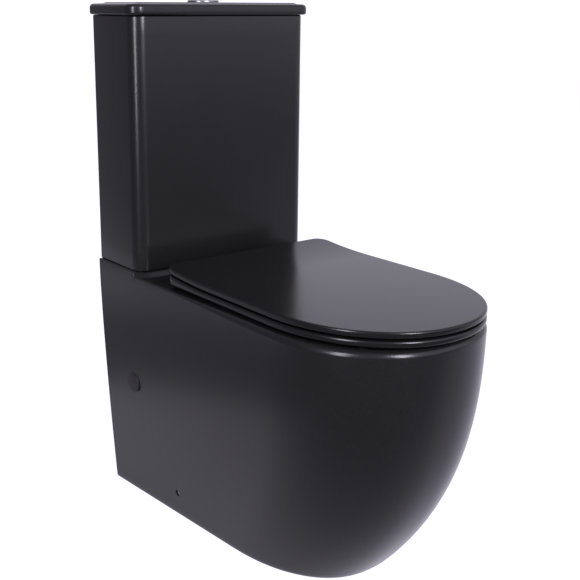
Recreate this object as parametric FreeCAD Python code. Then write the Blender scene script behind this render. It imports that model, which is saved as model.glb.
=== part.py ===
import FreeCAD, Part
import math
import os
from FreeCAD import Vector

# Close coupled toilet. Millimetres, +Z up, front towards -Y, wall behind at +Y.
# The origin lies on the floor, under the middle of the overall box.
# Depths are given as distances from the wall, and back() turns them into Y.

# Pan casting
SEAT_FRONT = 663.0            # wall to the front of the seat, the overall depth
PAN_OVERHANG = 6.5            # seat front past the pan's nose
RIM_Z = 414.0                 # top of the rim
PLATFORM_Z = 422.5            # top of the shelf that carries the cistern
PLATFORM_FRONT = 140.0        # wall to the front of that shelf
PAN_REAR_HALF = 177.0         # half width of the pan at the wall
NOSE_TUCK = 146.0             # how far the foot is set back from the nose
NOSE_POWER = 2.62
SIDE_TUCK = 20.0              # how far the foot is set in at the sides
SIDE_POWER = 1.45
SIDE_TAPER_FOOT = 0.071       # how fast the sides close in towards the nose
SIDE_TAPER_RIM = 0.016
STRAIGHT_FOOT = 0.640         # share of the section's length that is straight
STRAIGHT_RIM = 0.699
ROUND_FOOT = 2.41             # exponents of the rounded nose
ROUND_RIM = 2.29
SKIRT_WALL = 11.0
DECK_WALL = 16.0
RIM_FILLET = 7.0

# Bowl, trap and water ways
RIM_WIDTH = 38.0              # rim of the pan at the nose
BOWL_HALF = 131.0
BOWL_REAR = 272.0             # wall to the rear of the bowl's mouth
BOWL_MIDDLE = 455.0           # wall to the widest place of the mouth
BOWL_ROUND = 2.2
BOWL_WALL = 11.0
BOWL_JOINT_Z = 300.0          # where the bowl's upper casting is stuck to the lower one
SUMP_Z = 122.0                # inside bottom of the sump
SUMP_HALF = 46.0
SUMP_FRONT = 445.0
SUMP_REAR = 345.0
TRAP_BORE = 27.0
TRAP_WALL = 9.0
WEIR_Z = 235.0
WEIR_BACK = 235.0             # wall to the top of the trap's rise
OUTLET_Z = 185.0
OUTLET_R = 51.0
OUTLET_WALL = 9.0
OUTLET_GAP = 25.0             # wall to the end of the outlet spigot
OUTLET_LENGTH = 110.0
DUCT_HALF = 66.0
DUCT_TOP = 400.0
DUCT_DEPTH = 76.0
DUCT_WALL = 12.0
DUCT_LAP = 30.0               # how far the duct runs into the bowl's wall
SLOT_HALF = 34.0              # half width of the flush slot in the bowl
SLOT_LAP = 5.0

# Holes in the pan
WELL_R = 57.0                 # round well in the shelf for the coupling seal
INLET_R = 36.0
SUPPLY_HOLE_R = 24.0
CAP_BACK = 92.0
CAP_Z = 219.0
CAP_R = 17.5
CAP_HOLE_R = 14.5
SIDE_SCREW_BACK = 194.0
SIDE_SCREW_Z = 45.0
SIDE_HOLE_R = 4.8
BRACKET_LENGTH = 40.0
SEAT_BOLT_HALF = 77.5
SEAT_HOLE_R = 7.5

# Cistern and its lid
CISTERN_GAP = 2.0             # shadow gap over the shelf
CISTERN_TOP = 830.5
CISTERN_HALF_TOP = 172.5
CISTERN_HALF_FOOT = 174.0
CISTERN_DEPTH_TOP = 133.0
CISTERN_DEPTH_FOOT = 131.0
CISTERN_CORNER = 24.0
CISTERN_BACK_CORNER = 6.0
BACK_TRIM = 1.0               # ground off the back, which leaves it flat
CISTERN_WALL = 8.5
CISTERN_FLOOR = 12.0
CISTERN_BOLT_HALF = 80.0
BOLT_R = 4.0
LID_GAP = 1.5
LID_THICK = 20.0
LID_OVERHANG = 6.5
LID_FILLET = 7.0
LID_RECESS = 8.0

# Flush valve, fill valve and buttons
VALVE_BACK = 68.0             # wall to the flush valve's axis
TAIL_R = 29.8
CAGE_R = 33.0
CAGE_TOP = 640.0
STEM_R = 13.0
FILL_X = -125.0
FILL_TAIL_R = 10.45           # free end that takes the supply's coupling
FILL_THREAD_R = 10.9          # clamping thread under the backnut
FILL_TOP = 745.0
FLOAT_TRAVEL = 12.0
BUTTON_R = 28.5
BUTTON_RISE = 3.5
BUTTON_SPLIT = -4.0           # gap between the half and the full flush key
ROD_HALF = 12.0
ROD_OFFSET = 6.0              # rods and levers stand this far off the valve's axis
ROD_R = 2.5
LEVER_Z = 668.0
RUN = 0.06                    # radial clearance of a running fit
CLEAR = 0.5                   # clearance between bodies that pass each other

# Seat
SEAT_BACK = 192.0
SEAT_HALF = 165.0
SEAT_STRAIGHT = 459.0         # wall to the start of the rounded front
SEAT_ROUND = 2.107
SEAT_CORNER = 14.0
RING_GAP = 5.0
RING_THICK = 9.5
LID_SEAT_GAP = 3.0
SEAT_LID_THICK = 9.5
REAR_RISE = 7.5               # how much higher the rear of the seat stands
RISE_LENGTH = 122.0
RING_MOUTH_HALF = 108.0
RING_MOUTH_REAR = 268.0
RING_BAND = 52.0              # width of the ring at the front
HINGE_BACK = 201.5
HINGE_Z = 428.0
HINGE_PIN_R = 3.0
POST_WIDTH = 22.0
POST_R = 6.0
LUG_WIDTH = 5.0
BUMPER_GAP = 0.3

WALL_Y = SEAT_FRONT / 2
PAN_LENGTH = SEAT_FRONT - PAN_OVERHANG
CISTERN_FOOT = PLATFORM_Z + CISTERN_GAP
CISTERN_INSIDE = CISTERN_FOOT + CISTERN_FLOOR
LID_FOOT = CISTERN_TOP + LID_GAP
LID_TOP = LID_FOOT + LID_THICK
LID_DEPTH = CISTERN_DEPTH_TOP + LID_OVERHANG
LID_HALF = CISTERN_HALF_TOP + LID_OVERHANG
WELL_FLOOR = DUCT_TOP - 4.0
RING_FOOT = RIM_Z + RING_GAP
RING_TOP = RING_FOOT + RING_THICK
SEAT_LID_FOOT = RING_TOP + LID_SEAT_GAP
SEAT_LID_TOP = SEAT_LID_FOOT + SEAT_LID_THICK
DECK_UNDER = RIM_Z - DECK_WALL

UP = Vector(0, 0, 1)
ALONG_X = Vector(1, 0, 0)
ALONG_Y = Vector(0, 1, 0)


def back(distance):
    """Y of a plane that stands this far in front of the wall."""
    return WALL_Y - distance


def block(x_low, x_high, front, rear, z_low, z_high):
    """A box, with its depth given as two distances from the wall."""
    size = (x_high - x_low, front - rear, z_high - z_low)
    return Part.makeBox(*size, Vector(x_low, back(front), z_low))


def rod(radius, height, x, distance, z, axis=UP):
    return Part.makeCylinder(radius, height, Vector(x, back(distance), z), axis)


def tube(outer, inner, height, x, distance, z, axis=UP):
    body = rod(outer, height, x, distance, z, axis)
    return body.cut(rod(inner, height, x, distance, z, axis))


def hexagon(flats, height, x, distance, z):
    radius = flats / math.sqrt(3)
    corners = []
    for step in range(7):
        angle = math.radians(60 * step)
        corners.append(Vector(x + radius * math.cos(angle), back(distance) + radius * math.sin(angle), z))
    return Part.Face(Part.makePolygon(corners)).extrude(Vector(0, 0, height))


def mirrored(shape):
    """The same piece on the other side of the middle plane."""
    return shape.mirror(Vector(0, 0, 0), ALONG_X)


def both_sides(shape):
    return Part.makeCompound([shape, mirrored(shape)])


def save(name, shape):
    shape.exportStep("parts/" + name + ".step")


def smooth_loop(points):
    """A closed flat face inside one smooth curve."""
    curve = Part.BSplineCurve()
    curve.interpolate(points, PeriodicFlag=True)
    return Part.Wire(curve.toShape())


# ---- Pan ----

def pan_sizes(z):
    """Length, rear half width, side taper, straight length and exponent of the pan at a height."""
    fall = max(0.0, 1 - z / RIM_Z)
    grow = 1 - fall ** NOSE_POWER
    length = PAN_LENGTH - NOSE_TUCK * fall ** NOSE_POWER
    half = PAN_REAR_HALF - SIDE_TUCK * fall ** SIDE_POWER
    taper = SIDE_TAPER_FOOT + (SIDE_TAPER_RIM - SIDE_TAPER_FOOT) * grow
    straight = length * (STRAIGHT_FOOT + (STRAIGHT_RIM - STRAIGHT_FOOT) * grow)
    power = ROUND_FOOT + (ROUND_RIM - ROUND_FOOT) * grow
    return length, half, taper, straight, power


def pan_section(z, inset=0.0, rear=0.0):
    """Outline of the pan at a height: flat back, tapering sides and a rounded nose."""
    length, half, taper, straight, power = pan_sizes(z)
    length = length - inset
    half = half - inset
    side = []
    for step in range(5):
        distance = rear + (straight - rear) * step / 5
        side.append((half - taper * distance, distance))
    for step in range(13):
        turn = math.pi / 2 * step / 12
        distance = straight + (length - straight) * math.sin(turn) ** (2 / power)
        width = (half - taper * distance) * max(0.0, math.cos(turn)) ** (2 / power)
        side.append((width, distance))
    right = [Vector(width, back(distance), z) for width, distance in side]
    left = [Vector(-point.x, point.y, z) for point in reversed(right[:-1])]
    curve = Part.BSplineCurve()
    curve.interpolate(right + left)
    closing = Part.LineSegment(left[-1], right[0])
    return Part.Wire([curve.toShape(), closing.toShape()])


def pan_body(low, high, inset=0.0, rear=0.0):
    levels = 9
    sections = []
    for step in range(levels):
        share = step / (levels - 1)
        sections.append(pan_section(low + (high - low) * share, inset, rear))
    return Part.makeLoft(sections, True, False)


def bowl_section(z, wall):
    """Egg-shaped section of the bowl, which closes in like an ellipse towards the sump."""
    share = min(1.0, max(0.0, (z - SUMP_Z) / (RIM_Z - SUMP_Z)))
    open_share = math.sqrt(1 - (1 - share) ** 2)
    mouth_front = PAN_LENGTH - RIM_WIDTH
    front = SUMP_FRONT + (mouth_front - SUMP_FRONT) * open_share + wall
    rear = SUMP_REAR + (BOWL_REAR - SUMP_REAR) * open_share - wall
    half = SUMP_HALF + (BOWL_HALF - SUMP_HALF) * open_share + wall
    sump_middle = (SUMP_FRONT + SUMP_REAR) / 2
    middle = sump_middle + (BOWL_MIDDLE - sump_middle) * open_share
    points = []
    for step in range(24):
        turn = 2 * math.pi * step / 24
        across = math.copysign(abs(math.sin(turn)) ** (2 / BOWL_ROUND), math.sin(turn))
        along = math.copysign(abs(math.cos(turn)) ** (2 / BOWL_ROUND), math.cos(turn))
        reach = (front - middle) if along > 0 else (middle - rear)
        points.append(Vector(half * across, back(middle + reach * along), z))
    return smooth_loop(points)


def bowl_body(wall):
    """The bowl's hollow, or with a wall the ceramic around it."""
    sections = []
    foot = SUMP_Z - wall
    shares = (0.0, 0.06, 0.16, 0.3, 0.5, 0.75, 1.0)
    top = RIM_Z + 1.0 if wall == 0 else RIM_Z - DECK_WALL / 2
    for share in shares:
        sections.append(bowl_section(foot + (top - foot) * share, wall))
    return Part.makeLoft(sections, True, False)


def trap_body(radius):
    """Round water way from the sump over the weir and down to the outlet."""
    rise = 100.0
    places = [
        (SUMP_REAR + TRAP_BORE, SUMP_Z + TRAP_BORE + 2),
        (WEIR_BACK + rise * 0.55, WEIR_Z),
        (WEIR_BACK - rise * 0.15, WEIR_Z),
        (OUTLET_GAP + OUTLET_LENGTH - 5, OUTLET_Z),
    ]
    points = [Vector(0, back(distance), z) for distance, z in places]
    body = None
    for start, end in zip(points, points[1:]):
        run = end - start
        piece = Part.makeCylinder(radius, run.Length, start, run)
        piece = piece.fuse(Part.makeSphere(radius, end))
        body = piece if body is None else body.fuse(piece)
    return body


def outlet_spigot():
    """Round spigot that the soil pipe's connector slides over."""
    front = OUTLET_GAP + OUTLET_LENGTH
    outer = rod(OUTLET_R, OUTLET_LENGTH, 0, front, OUTLET_Z, ALONG_Y)
    inner = rod(OUTLET_R - OUTLET_WALL, OUTLET_LENGTH - OUTLET_WALL, 0, front - OUTLET_WALL, OUTLET_Z, ALONG_Y)
    return outer, inner


def pan_shell():
    """Skirt, deck and shelf with the hollow underneath, before the bowl goes in."""
    body = pan_body(0.0, RIM_Z)
    nose_edges = [edge for edge in body.Edges if edge.BoundBox.ZMin > RIM_Z - 0.1 and edge.BoundBox.YMin < 0]
    body = body.makeFillet(RIM_FILLET, nose_edges)
    drop = RIM_FILLET + 2
    shelf = pan_section(PLATFORM_Z)
    shelf.translate(Vector(0, 0, RIM_Z - drop - PLATFORM_Z))
    shelf = Part.Face(shelf).extrude(Vector(0, 0, PLATFORM_Z - RIM_Z + drop))
    wide = 2 * PAN_REAR_HALF
    shelf = shelf.common(block(-wide, wide, PLATFORM_FRONT, 0, 0, PLATFORM_Z + 1))
    return body.fuse(shelf).cut(pan_body(-1.0, DECK_UNDER, SKIRT_WALL, -10.0))


def water_voids():
    """Every hollow that water runs through."""
    duct_front = BOWL_REAR + DUCT_LAP
    duct_foot = DUCT_TOP - DUCT_DEPTH
    high = DUCT_TOP - 2 * DUCT_WALL
    bore_half = DUCT_HALF - DUCT_WALL
    water_way = block(-bore_half, bore_half, BOWL_REAR - BOWL_WALL - SLOT_LAP, 2 * DUCT_WALL,
                      duct_foot + DUCT_WALL, high)
    slot = block(-SLOT_HALF, SLOT_HALF, duct_front, BOWL_REAR - BOWL_WALL - 2 * SLOT_LAP,
                 duct_foot + 2 * DUCT_WALL, high)
    return Part.makeCompound([bowl_body(0.0), trap_body(TRAP_BORE), outlet_spigot()[1], water_way, slot])


def pan_castings():
    """The pan's castings, stuck together wet and fired as one: deck, skirt, bowl, duct and trap."""
    shell = pan_shell()
    wide = 2 * PAN_REAR_HALF
    low_half = block(-wide, wide, SEAT_FRONT, -20, -1, DECK_UNDER)
    skirt = shell.common(low_half)
    deck = shell.cut(low_half)
    bowl = bowl_body(BOWL_WALL)
    duct = block(-DUCT_HALF, DUCT_HALF, BOWL_REAR + DUCT_LAP, DUCT_WALL, DUCT_TOP - DUCT_DEPTH, DUCT_TOP)
    trap = trap_body(TRAP_BORE + TRAP_WALL).fuse(outlet_spigot()[0])
    bowl = bowl.common(low_half)
    duct = duct.common(low_half).cut(bowl)
    trap = trap.cut(bowl)
    upper_half = block(-wide, wide, SEAT_FRONT, -20, BOWL_JOINT_Z, RIM_Z)
    voids = water_voids()
    holes = pan_holes()
    castings = {
        "pan_deck": deck,
        "pan_skirt": skirt,
        "pan_bowl_upper": bowl.common(upper_half),
        "pan_bowl_lower": bowl.cut(upper_half),
        "pan_duct": duct,
        "pan_trap": trap,
    }
    for name, shape in castings.items():
        for void in voids.Solids + holes.Solids:
            shape = shape.cut(void)
        castings[name] = shape.removeSplitter()
    return castings


def pan_holes():
    """Wells and holes that are cut into the fired casting."""
    high = PLATFORM_Z + 1
    holes = [
        rod(WELL_R, high - WELL_FLOOR, 0, VALVE_BACK, WELL_FLOOR),
        rod(INLET_R, high - DUCT_TOP + 3 * DUCT_WALL, 0, VALVE_BACK, DUCT_TOP - 3 * DUCT_WALL),
        rod(SUPPLY_HOLE_R, high - DECK_UNDER + 2, FILL_X, VALVE_BACK, DECK_UNDER - 2),
    ]
    for side in (-1, 1):
        holes.append(rod(BOLT_R + 2, high - DECK_UNDER + 2, side * CISTERN_BOLT_HALF, VALVE_BACK, DECK_UNDER - 2))
        holes.append(rod(SEAT_HOLE_R, DECK_WALL + 2, side * SEAT_BOLT_HALF, HINGE_BACK, DECK_UNDER - 1))
        outward = Vector(side, 0, 0)
        start = side * PAN_REAR_HALF / 2
        holes.append(rod(CAP_HOLE_R, PAN_REAR_HALF, start, CAP_BACK, CAP_Z, outward))
        holes.append(rod(SIDE_HOLE_R - 1.8, PAN_REAR_HALF, start, SIDE_SCREW_BACK, SIDE_SCREW_Z, outward))
        seat = side * (side_wall_x(SIDE_SCREW_BACK, SIDE_SCREW_Z) - SKIRT_WALL / 2)
        holes.append(rod(SIDE_HOLE_R, PAN_REAR_HALF, seat, SIDE_SCREW_BACK, SIDE_SCREW_Z, outward))
    return Part.makeCompound(holes)


def side_wall_x(distance, z):
    """Half width of the pan's outside at a distance from the wall."""
    length, half, taper, straight, power = pan_sizes(z)
    return half - taper * distance


def access_cap(side, casting):
    """Domed push-in cap over the hole that reaches the fixings, with three gripping legs."""
    face = side_wall_x(CAP_BACK, CAP_Z)
    outward = Vector(side, 0, 0)
    disc = rod(CAP_R, 2.2, side * (face - 0.1), CAP_BACK, CAP_Z, outward)
    rim = [edge for edge in disc.Edges if abs(edge.CenterOfMass.x) > face + 1.5]
    disc = disc.makeFillet(1.2, rim)
    sleeve = tube(CAP_HOLE_R - 0.3, CAP_HOLE_R - 2.3, 14.0, side * (face + 0.4), CAP_BACK, CAP_Z, outward * -1)
    for turn in (0, 60, 120):
        slit = Part.makeBox(12.0, 2.4, 60.0, Vector(-6.0, -1.2, -30.0))
        slit.rotate(Vector(0, 0, 0), ALONG_X, turn)
        slit.translate(Vector(side * (face - 10.0), back(CAP_BACK), CAP_Z))
        sleeve = sleeve.cut(slit)
    return disc.fuse(sleeve).cut(casting)


def bracket_face():
    """Half width of the brackets, just inside the skirt where it is narrowest."""
    return side_wall_x(SIDE_SCREW_BACK + BRACKET_LENGTH / 2, 0) - SKIRT_WALL - 1.0


def floor_brackets():
    """Two folded angles inside the skirt, screwed to the floor and to the pan's sides."""
    face = bracket_face()
    near, far = SIDE_SCREW_BACK + BRACKET_LENGTH / 2, SIDE_SCREW_BACK - BRACKET_LENGTH / 2
    upright = block(face - 3, face, near, far, 0, SIDE_SCREW_Z + 15)
    foot = block(face - 40, face - 2, near, far, 0, 3)
    angle = upright.fuse(foot)
    angle = angle.cut(rod(3.5, 5, face - 22, SIDE_SCREW_BACK, -1))
    angle = angle.cut(rod(2.5, 10, face - 6, SIDE_SCREW_BACK, SIDE_SCREW_Z, ALONG_X))
    return both_sides(angle)


def side_screws():
    """Pan-headed screws in the pan's side holes, with their points in the brackets."""
    seat = side_wall_x(SIDE_SCREW_BACK, SIDE_SCREW_Z) - SKIRT_WALL / 2
    head = rod(4.3, 2.5, seat, SIDE_SCREW_BACK, SIDE_SCREW_Z, ALONG_X)
    drive = hexagon(3.0, 2.0, 0, WALL_Y, 0)
    drive.rotate(Vector(0, 0, 0), ALONG_Y, 90)
    drive.translate(Vector(seat + 1.2, back(SIDE_SCREW_BACK), SIDE_SCREW_Z))
    length = seat - bracket_face() + 8
    shank = rod(2.5 - RUN, length, seat, SIDE_SCREW_BACK, SIDE_SCREW_Z, ALONG_X * -1)
    return both_sides(head.cut(drive).fuse(shank))


# ---- Cistern ----

def cistern_section(z, half, depth, inset, rear, rear_corner):
    """Rounded rectangle: two large front corners and two small rear ones."""
    x = half - inset
    front = depth - inset
    big = CISTERN_CORNER - inset
    small = rear_corner
    y_front, y_rear = back(front), back(rear)
    near = 1 - math.sqrt(0.5)

    def arc(corner_x, corner_y, radius, turn):
        """Quarter circle in one corner, met anticlockwise from above."""
        inward_x = -math.copysign(radius, corner_x)
        inward_y = radius if corner_y == y_front else -radius
        first = Vector(corner_x, corner_y + inward_y, z)
        second = Vector(corner_x + inward_x, corner_y, z)
        middle = Vector(corner_x + near * inward_x, corner_y + near * inward_y, z)
        ends = (first, second) if turn else (second, first)
        return Part.Arc(ends[0], middle, ends[1]).toShape(), ends

    corners = [
        arc(-x, y_front, big, True),
        arc(x, y_front, big, False),
        arc(x, y_rear, small, True),
        arc(-x, y_rear, small, False),
    ]
    edges = []
    for index, (edge, ends) in enumerate(corners):
        following = corners[(index + 1) % 4][1]
        edges.append(edge)
        edges.append(Part.LineSegment(ends[1], following[0]).toShape())
    return Part.Wire(edges)


def cistern_block(inset, rear, z_low, z_high, rear_corner):
    share = (z_low - CISTERN_FOOT) / (CISTERN_TOP - CISTERN_FOOT)
    half_low = CISTERN_HALF_FOOT + (CISTERN_HALF_TOP - CISTERN_HALF_FOOT) * share
    depth_low = CISTERN_DEPTH_FOOT + (CISTERN_DEPTH_TOP - CISTERN_DEPTH_FOOT) * share
    low = cistern_section(z_low, half_low, depth_low, inset, rear, rear_corner)
    high = cistern_section(z_high, CISTERN_HALF_TOP, CISTERN_DEPTH_TOP, inset, rear, rear_corner)
    return Part.makeLoft([low, high], True, True)


def cistern():
    """Open ceramic box, flat at the back, with holes for the two valves and the two bolts."""
    body = cistern_block(0.0, -BACK_TRIM, CISTERN_FOOT, CISTERN_TOP, CISTERN_BACK_CORNER)
    wide = 2 * CISTERN_HALF_FOOT
    body = body.cut(block(-wide, wide, 0, -2 * BACK_TRIM, CISTERN_FOOT - 1, CISTERN_TOP + 1))
    low_edges = [edge for edge in body.Edges if edge.BoundBox.ZMax < CISTERN_FOOT + 0.1]
    body = body.makeFillet(4.0, low_edges)
    inside = cistern_block(CISTERN_WALL, CISTERN_WALL, CISTERN_INSIDE, CISTERN_TOP, 3.0)
    body = body.cut(inside)
    low, high = CISTERN_FOOT - 1, CISTERN_FLOOR + 2
    body = body.cut(rod(TAIL_R + 2, high, 0, VALVE_BACK, low))
    body = body.cut(rod(FILL_THREAD_R + 1.0, high, FILL_X, VALVE_BACK, low))
    for side in (-1, 1):
        body = body.cut(rod(BOLT_R + 1.5, high, side * CISTERN_BOLT_HALF, VALVE_BACK, low))
    return body


def cistern_lid():
    """Loose ceramic slab with softened top edges, a hollow underside and the button hole."""
    def outline(inset, z):
        half = LID_HALF - inset
        return cistern_section(z, half + inset, LID_DEPTH, inset, inset, CISTERN_BACK_CORNER)

    slab = Part.Face(outline(0.0, LID_FOOT)).extrude(Vector(0, 0, LID_THICK))
    top_edges = [edge for edge in slab.Edges if edge.BoundBox.ZMin > LID_TOP - 0.1]
    slab = slab.makeFillet(LID_FILLET, top_edges)
    recess = LID_OVERHANG + CISTERN_WALL + 5
    hollow = Part.Face(outline(recess, LID_FOOT)).extrude(Vector(0, 0, LID_RECESS))
    slab = slab.cut(hollow)
    return slab.cut(rod(24.3, LID_THICK + 2, 0, VALVE_BACK, LID_FOOT - 1))


def lid_pads():
    """Four soft buttons that keep the lid off the cistern's rim."""
    pads = []
    inset = CISTERN_WALL / 2
    for side in (-1, 1):
        for distance in (inset + 20, CISTERN_DEPTH_TOP - CISTERN_CORNER - 12):
            x = side * (CISTERN_HALF_TOP - inset)
            pads.append(rod(3.0, LID_GAP - BUMPER_GAP, x, distance, CISTERN_TOP + BUMPER_GAP))
    return Part.makeCompound(pads)


def coupling_seal():
    """Thick foam ring that seals the flush valve's tail to the pan's well."""
    ring = tube(WELL_R - 2, TAIL_R + 1.2, 13.0, 0, VALVE_BACK, WELL_FLOOR)
    skirt = tube(WELL_R - 2, WELL_R - 9, PLATFORM_Z - WELL_FLOOR - 1, 0, VALVE_BACK, WELL_FLOOR)
    return ring.fuse(skirt)


def support_pads():
    """Four rubber pads on the shelf that carry the cistern."""
    pads = []
    for distance in (CISTERN_DEPTH_FOOT - 18, 30):
        pad = block(110, 150, distance, distance - 20, PLATFORM_Z, CISTERN_FOOT)
        pads.extend([pad, mirrored(pad)])
    return Part.makeCompound(pads)


def for_bolts(make):
    """The same piece at both cistern bolts."""
    return Part.makeCompound([make(-CISTERN_BOLT_HALF), make(CISTERN_BOLT_HALF)])


BOLT_SEAL = 4.0
WING_NUT_Z = DECK_UNDER - 12.0


def cistern_bolts():
    def bolt(x):
        shank = rod(BOLT_R, CISTERN_INSIDE + BOLT_SEAL - WING_NUT_Z + 14, x, VALVE_BACK, WING_NUT_Z - 14)
        head = hexagon(13.0, 5.5, x, VALVE_BACK, CISTERN_INSIDE + BOLT_SEAL)
        flange = rod(10.0, 1.5, x, VALVE_BACK, CISTERN_INSIDE + BOLT_SEAL)
        return shank.multiFuse([head, flange])
    return for_bolts(bolt)


def bolt_seals():
    def cone(x):
        place = Vector(x, back(VALVE_BACK), CISTERN_INSIDE)
        body = Part.makeCone(13.0, 11.0, BOLT_SEAL, place, UP)
        return body.cut(rod(BOLT_R + RUN, BOLT_SEAL, x, VALVE_BACK, CISTERN_INSIDE))
    return for_bolts(cone)


def bolt_washers():
    return for_bolts(lambda x: tube(12.0, BOLT_R + RUN, 2.0, x, VALVE_BACK, DECK_UNDER - 2.0))


def wing_nuts():
    """Hand-tight nuts under the shelf, each with two wings."""
    height = DECK_UNDER - 2.0 - WING_NUT_Z

    def nut(x):
        hub = rod(8.0, height, x, VALVE_BACK, WING_NUT_Z)
        wings = block(x - 1.5, x + 1.5, VALVE_BACK + 18, VALVE_BACK - 18, WING_NUT_Z - 6, WING_NUT_Z + 6)
        return hub.fuse(wings).cut(rod(BOLT_R + RUN, height + 10, x, VALVE_BACK, WING_NUT_Z - 8))
    return for_bolts(nut)


# ---- Flush valve, in the middle of the cistern ----

VALVE_SEAT_Z = CISTERN_INSIDE + 14.0
FLANGE_Z = CISTERN_INSIDE + 3.0


def flush_valve_base():
    """Threaded tail, clamping flange and the raised seat that the seal closes."""
    tail_foot = WELL_FLOOR - 10.0
    bore = TAIL_R - 4.5
    tail = tube(TAIL_R, bore, FLANGE_Z - tail_foot, 0, VALVE_BACK, tail_foot)
    flange = tube(TAIL_R + 10, bore, 4.0, 0, VALVE_BACK, FLANGE_Z)
    seat = tube(bore + 2.5, bore, VALVE_SEAT_Z - FLANGE_Z, 0, VALVE_BACK, FLANGE_Z)
    ring = tube(CAGE_R + 3, CAGE_R - 1.5, 8.0, 0, VALVE_BACK, FLANGE_Z + 2)
    return tail.multiFuse([flange, seat, ring])


def flush_valve_washer():
    return tube(TAIL_R + 9, TAIL_R + RUN, FLANGE_Z - CISTERN_INSIDE, 0, VALVE_BACK, CISTERN_INSIDE)


def flush_valve_backnut():
    """Large six-sided nut that clamps the valve from under the cistern."""
    thick = 10.0
    nut = hexagon(80.0, thick, 0, VALVE_BACK, CISTERN_FOOT - thick)
    return nut.cut(rod(TAIL_R + RUN, thick, 0, VALVE_BACK, CISTERN_FOOT - thick))


LEVER_HALF = 2.0              # half thickness of a lever
LEVER_ARM = 18.0              # from the pivot to the rod, and on to the lifting tip
LINK_X = ROD_HALF - 2 * LEVER_ARM - 3.5


def flush_cage():
    """Upright cage with water windows, closed by a bridge with two pairs of ears for the levers."""
    foot = FLANGE_Z + 10.0
    wall = 2.5
    cage = tube(CAGE_R, CAGE_R - wall, CAGE_TOP - foot, 0, VALVE_BACK, foot)
    for turn in range(4):
        window = Part.makeBox(80.0, 20.0, 34.0, Vector(0, -10, 0))
        window.rotate(Vector(0, 0, 0), UP, 45 + 90 * turn)
        window.translate(Vector(0, back(VALVE_BACK), foot + 4))
        cage = cage.cut(window)
    bridge = rod(CAGE_R, 4.0, 0, VALVE_BACK, CAGE_TOP)
    link_slot = block(LINK_X - 2.5, LINK_X + 2.5, lever_depth(1) + 3, lever_depth(1) - 3,
                      CAGE_TOP - 1, CAGE_TOP + 5)
    cage = cage.fuse(bridge.cut(link_slot))
    for side in (-1, 1):
        pivot_x = side * (ROD_HALF - LEVER_ARM)
        for offset in (ROD_OFFSET - LEVER_HALF - 2.2, ROD_OFFSET + LEVER_HALF + 2.2):
            depth = VALVE_BACK - side * offset
            ear = block(pivot_x - 4, pivot_x + 4, depth + 1.2, depth - 1.2, CAGE_TOP + 2, LEVER_Z + 5)
            ear = ear.cut(rod(1.5, 4.0, pivot_x, depth + 2, LEVER_Z, ALONG_Y))
            cage = cage.fuse(ear)
    return cage


def lever_depth(side):
    """Each lever lies in its own plane, beside the valve's axis."""
    return VALVE_BACK - side * ROD_OFFSET


def overflow_tube():
    """Hollow stem that carries the seal and takes away any overflow."""
    foot = VALVE_SEAT_Z + 2.5
    top = CAGE_TOP - 14.0
    stem = tube(STEM_R, STEM_R - 2, top - foot, 0, VALVE_BACK, foot)
    plate = tube(TAIL_R - 1.0, STEM_R - 2, 3.0, 0, VALVE_BACK, foot)
    collar = tube(STEM_R + 4, STEM_R - 2, 3.0, 0, VALVE_BACK, foot + 60)
    return stem.multiFuse([plate, collar])


def stem_link():
    """Strap on the stem's top, hooked over the lifting tip of the full flush lever."""
    depth = lever_depth(1)
    low = CAGE_TOP - 24.0
    ring = tube(STEM_R + 3, STEM_R + RUN, 4.0, 0, VALVE_BACK, low)
    arm = block(LINK_X - 1.2, -STEM_R - 1, depth + 2, depth - 2, low, low + 4)
    strap = block(LINK_X - 1.2, LINK_X + 1.2, depth + 2, depth - 2, low, LEVER_Z + LEVER_HALF + 4)
    hook = block(LINK_X - 1.2, LINK_X + 8, depth + 2, depth - 2, LEVER_Z + LEVER_HALF + 1, LEVER_Z + LEVER_HALF + 4)
    return ring.multiFuse([arm, strap, hook])


def valve_seal():
    return tube(TAIL_R - 1.0, STEM_R - 6, 2.5, 0, VALVE_BACK, VALVE_SEAT_Z)


def seal_retainer():
    """Clip ring under the seal, snapped into the stem's foot."""
    return tube(STEM_R + 3, STEM_R - 6, 2.0, 0, VALVE_BACK, VALVE_SEAT_Z - 2.0)


def stem_float():
    """Foam collar that holds the valve up while the water drains."""
    foot = VALVE_SEAT_Z + 2.5 + 63.0
    return tube(CAGE_R - 5, STEM_R + RUN, 30.0, 0, VALVE_BACK, foot)


def lever(side):
    """Small rocker: the button's rod presses one end, the other end lifts."""
    depth = lever_depth(side)
    pivot_x = side * (ROD_HALF - LEVER_ARM)
    low_x, high_x = sorted((side * (ROD_HALF + 4), side * (ROD_HALF - 2 * LEVER_ARM)))
    arm = block(low_x, high_x, depth + LEVER_HALF, depth - LEVER_HALF, LEVER_Z - LEVER_HALF, LEVER_Z + LEVER_HALF)
    hub = rod(4.0, 2 * LEVER_HALF, pivot_x, depth + LEVER_HALF, LEVER_Z, ALONG_Y)
    body = arm.fuse(hub)
    return body.cut(rod(1.5 + RUN, 2 * LEVER_HALF, pivot_x, depth + LEVER_HALF, LEVER_Z, ALONG_Y))


def half_flush_lever():
    """The half flush rocker ends in a finger that catches the stem's float early."""
    tip = -(ROD_HALF - 2 * LEVER_ARM)
    depth = lever_depth(-1)
    finger = block(tip - 3, tip, depth + LEVER_HALF, depth - LEVER_HALF, LEVER_Z - 14, LEVER_Z)
    return lever(-1).fuse(finger)


def lever_pins():
    """Steel pins through the ears and the levers."""
    pins = []
    reach = LEVER_HALF + 3.4
    for side in (-1, 1):
        pivot_x = side * (ROD_HALF - LEVER_ARM)
        pins.append(rod(1.5, 2 * reach, pivot_x, lever_depth(side) + reach, LEVER_Z, ALONG_Y))
    return Part.makeCompound(pins)


# ---- Fill valve, at the side of the cistern ----

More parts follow.
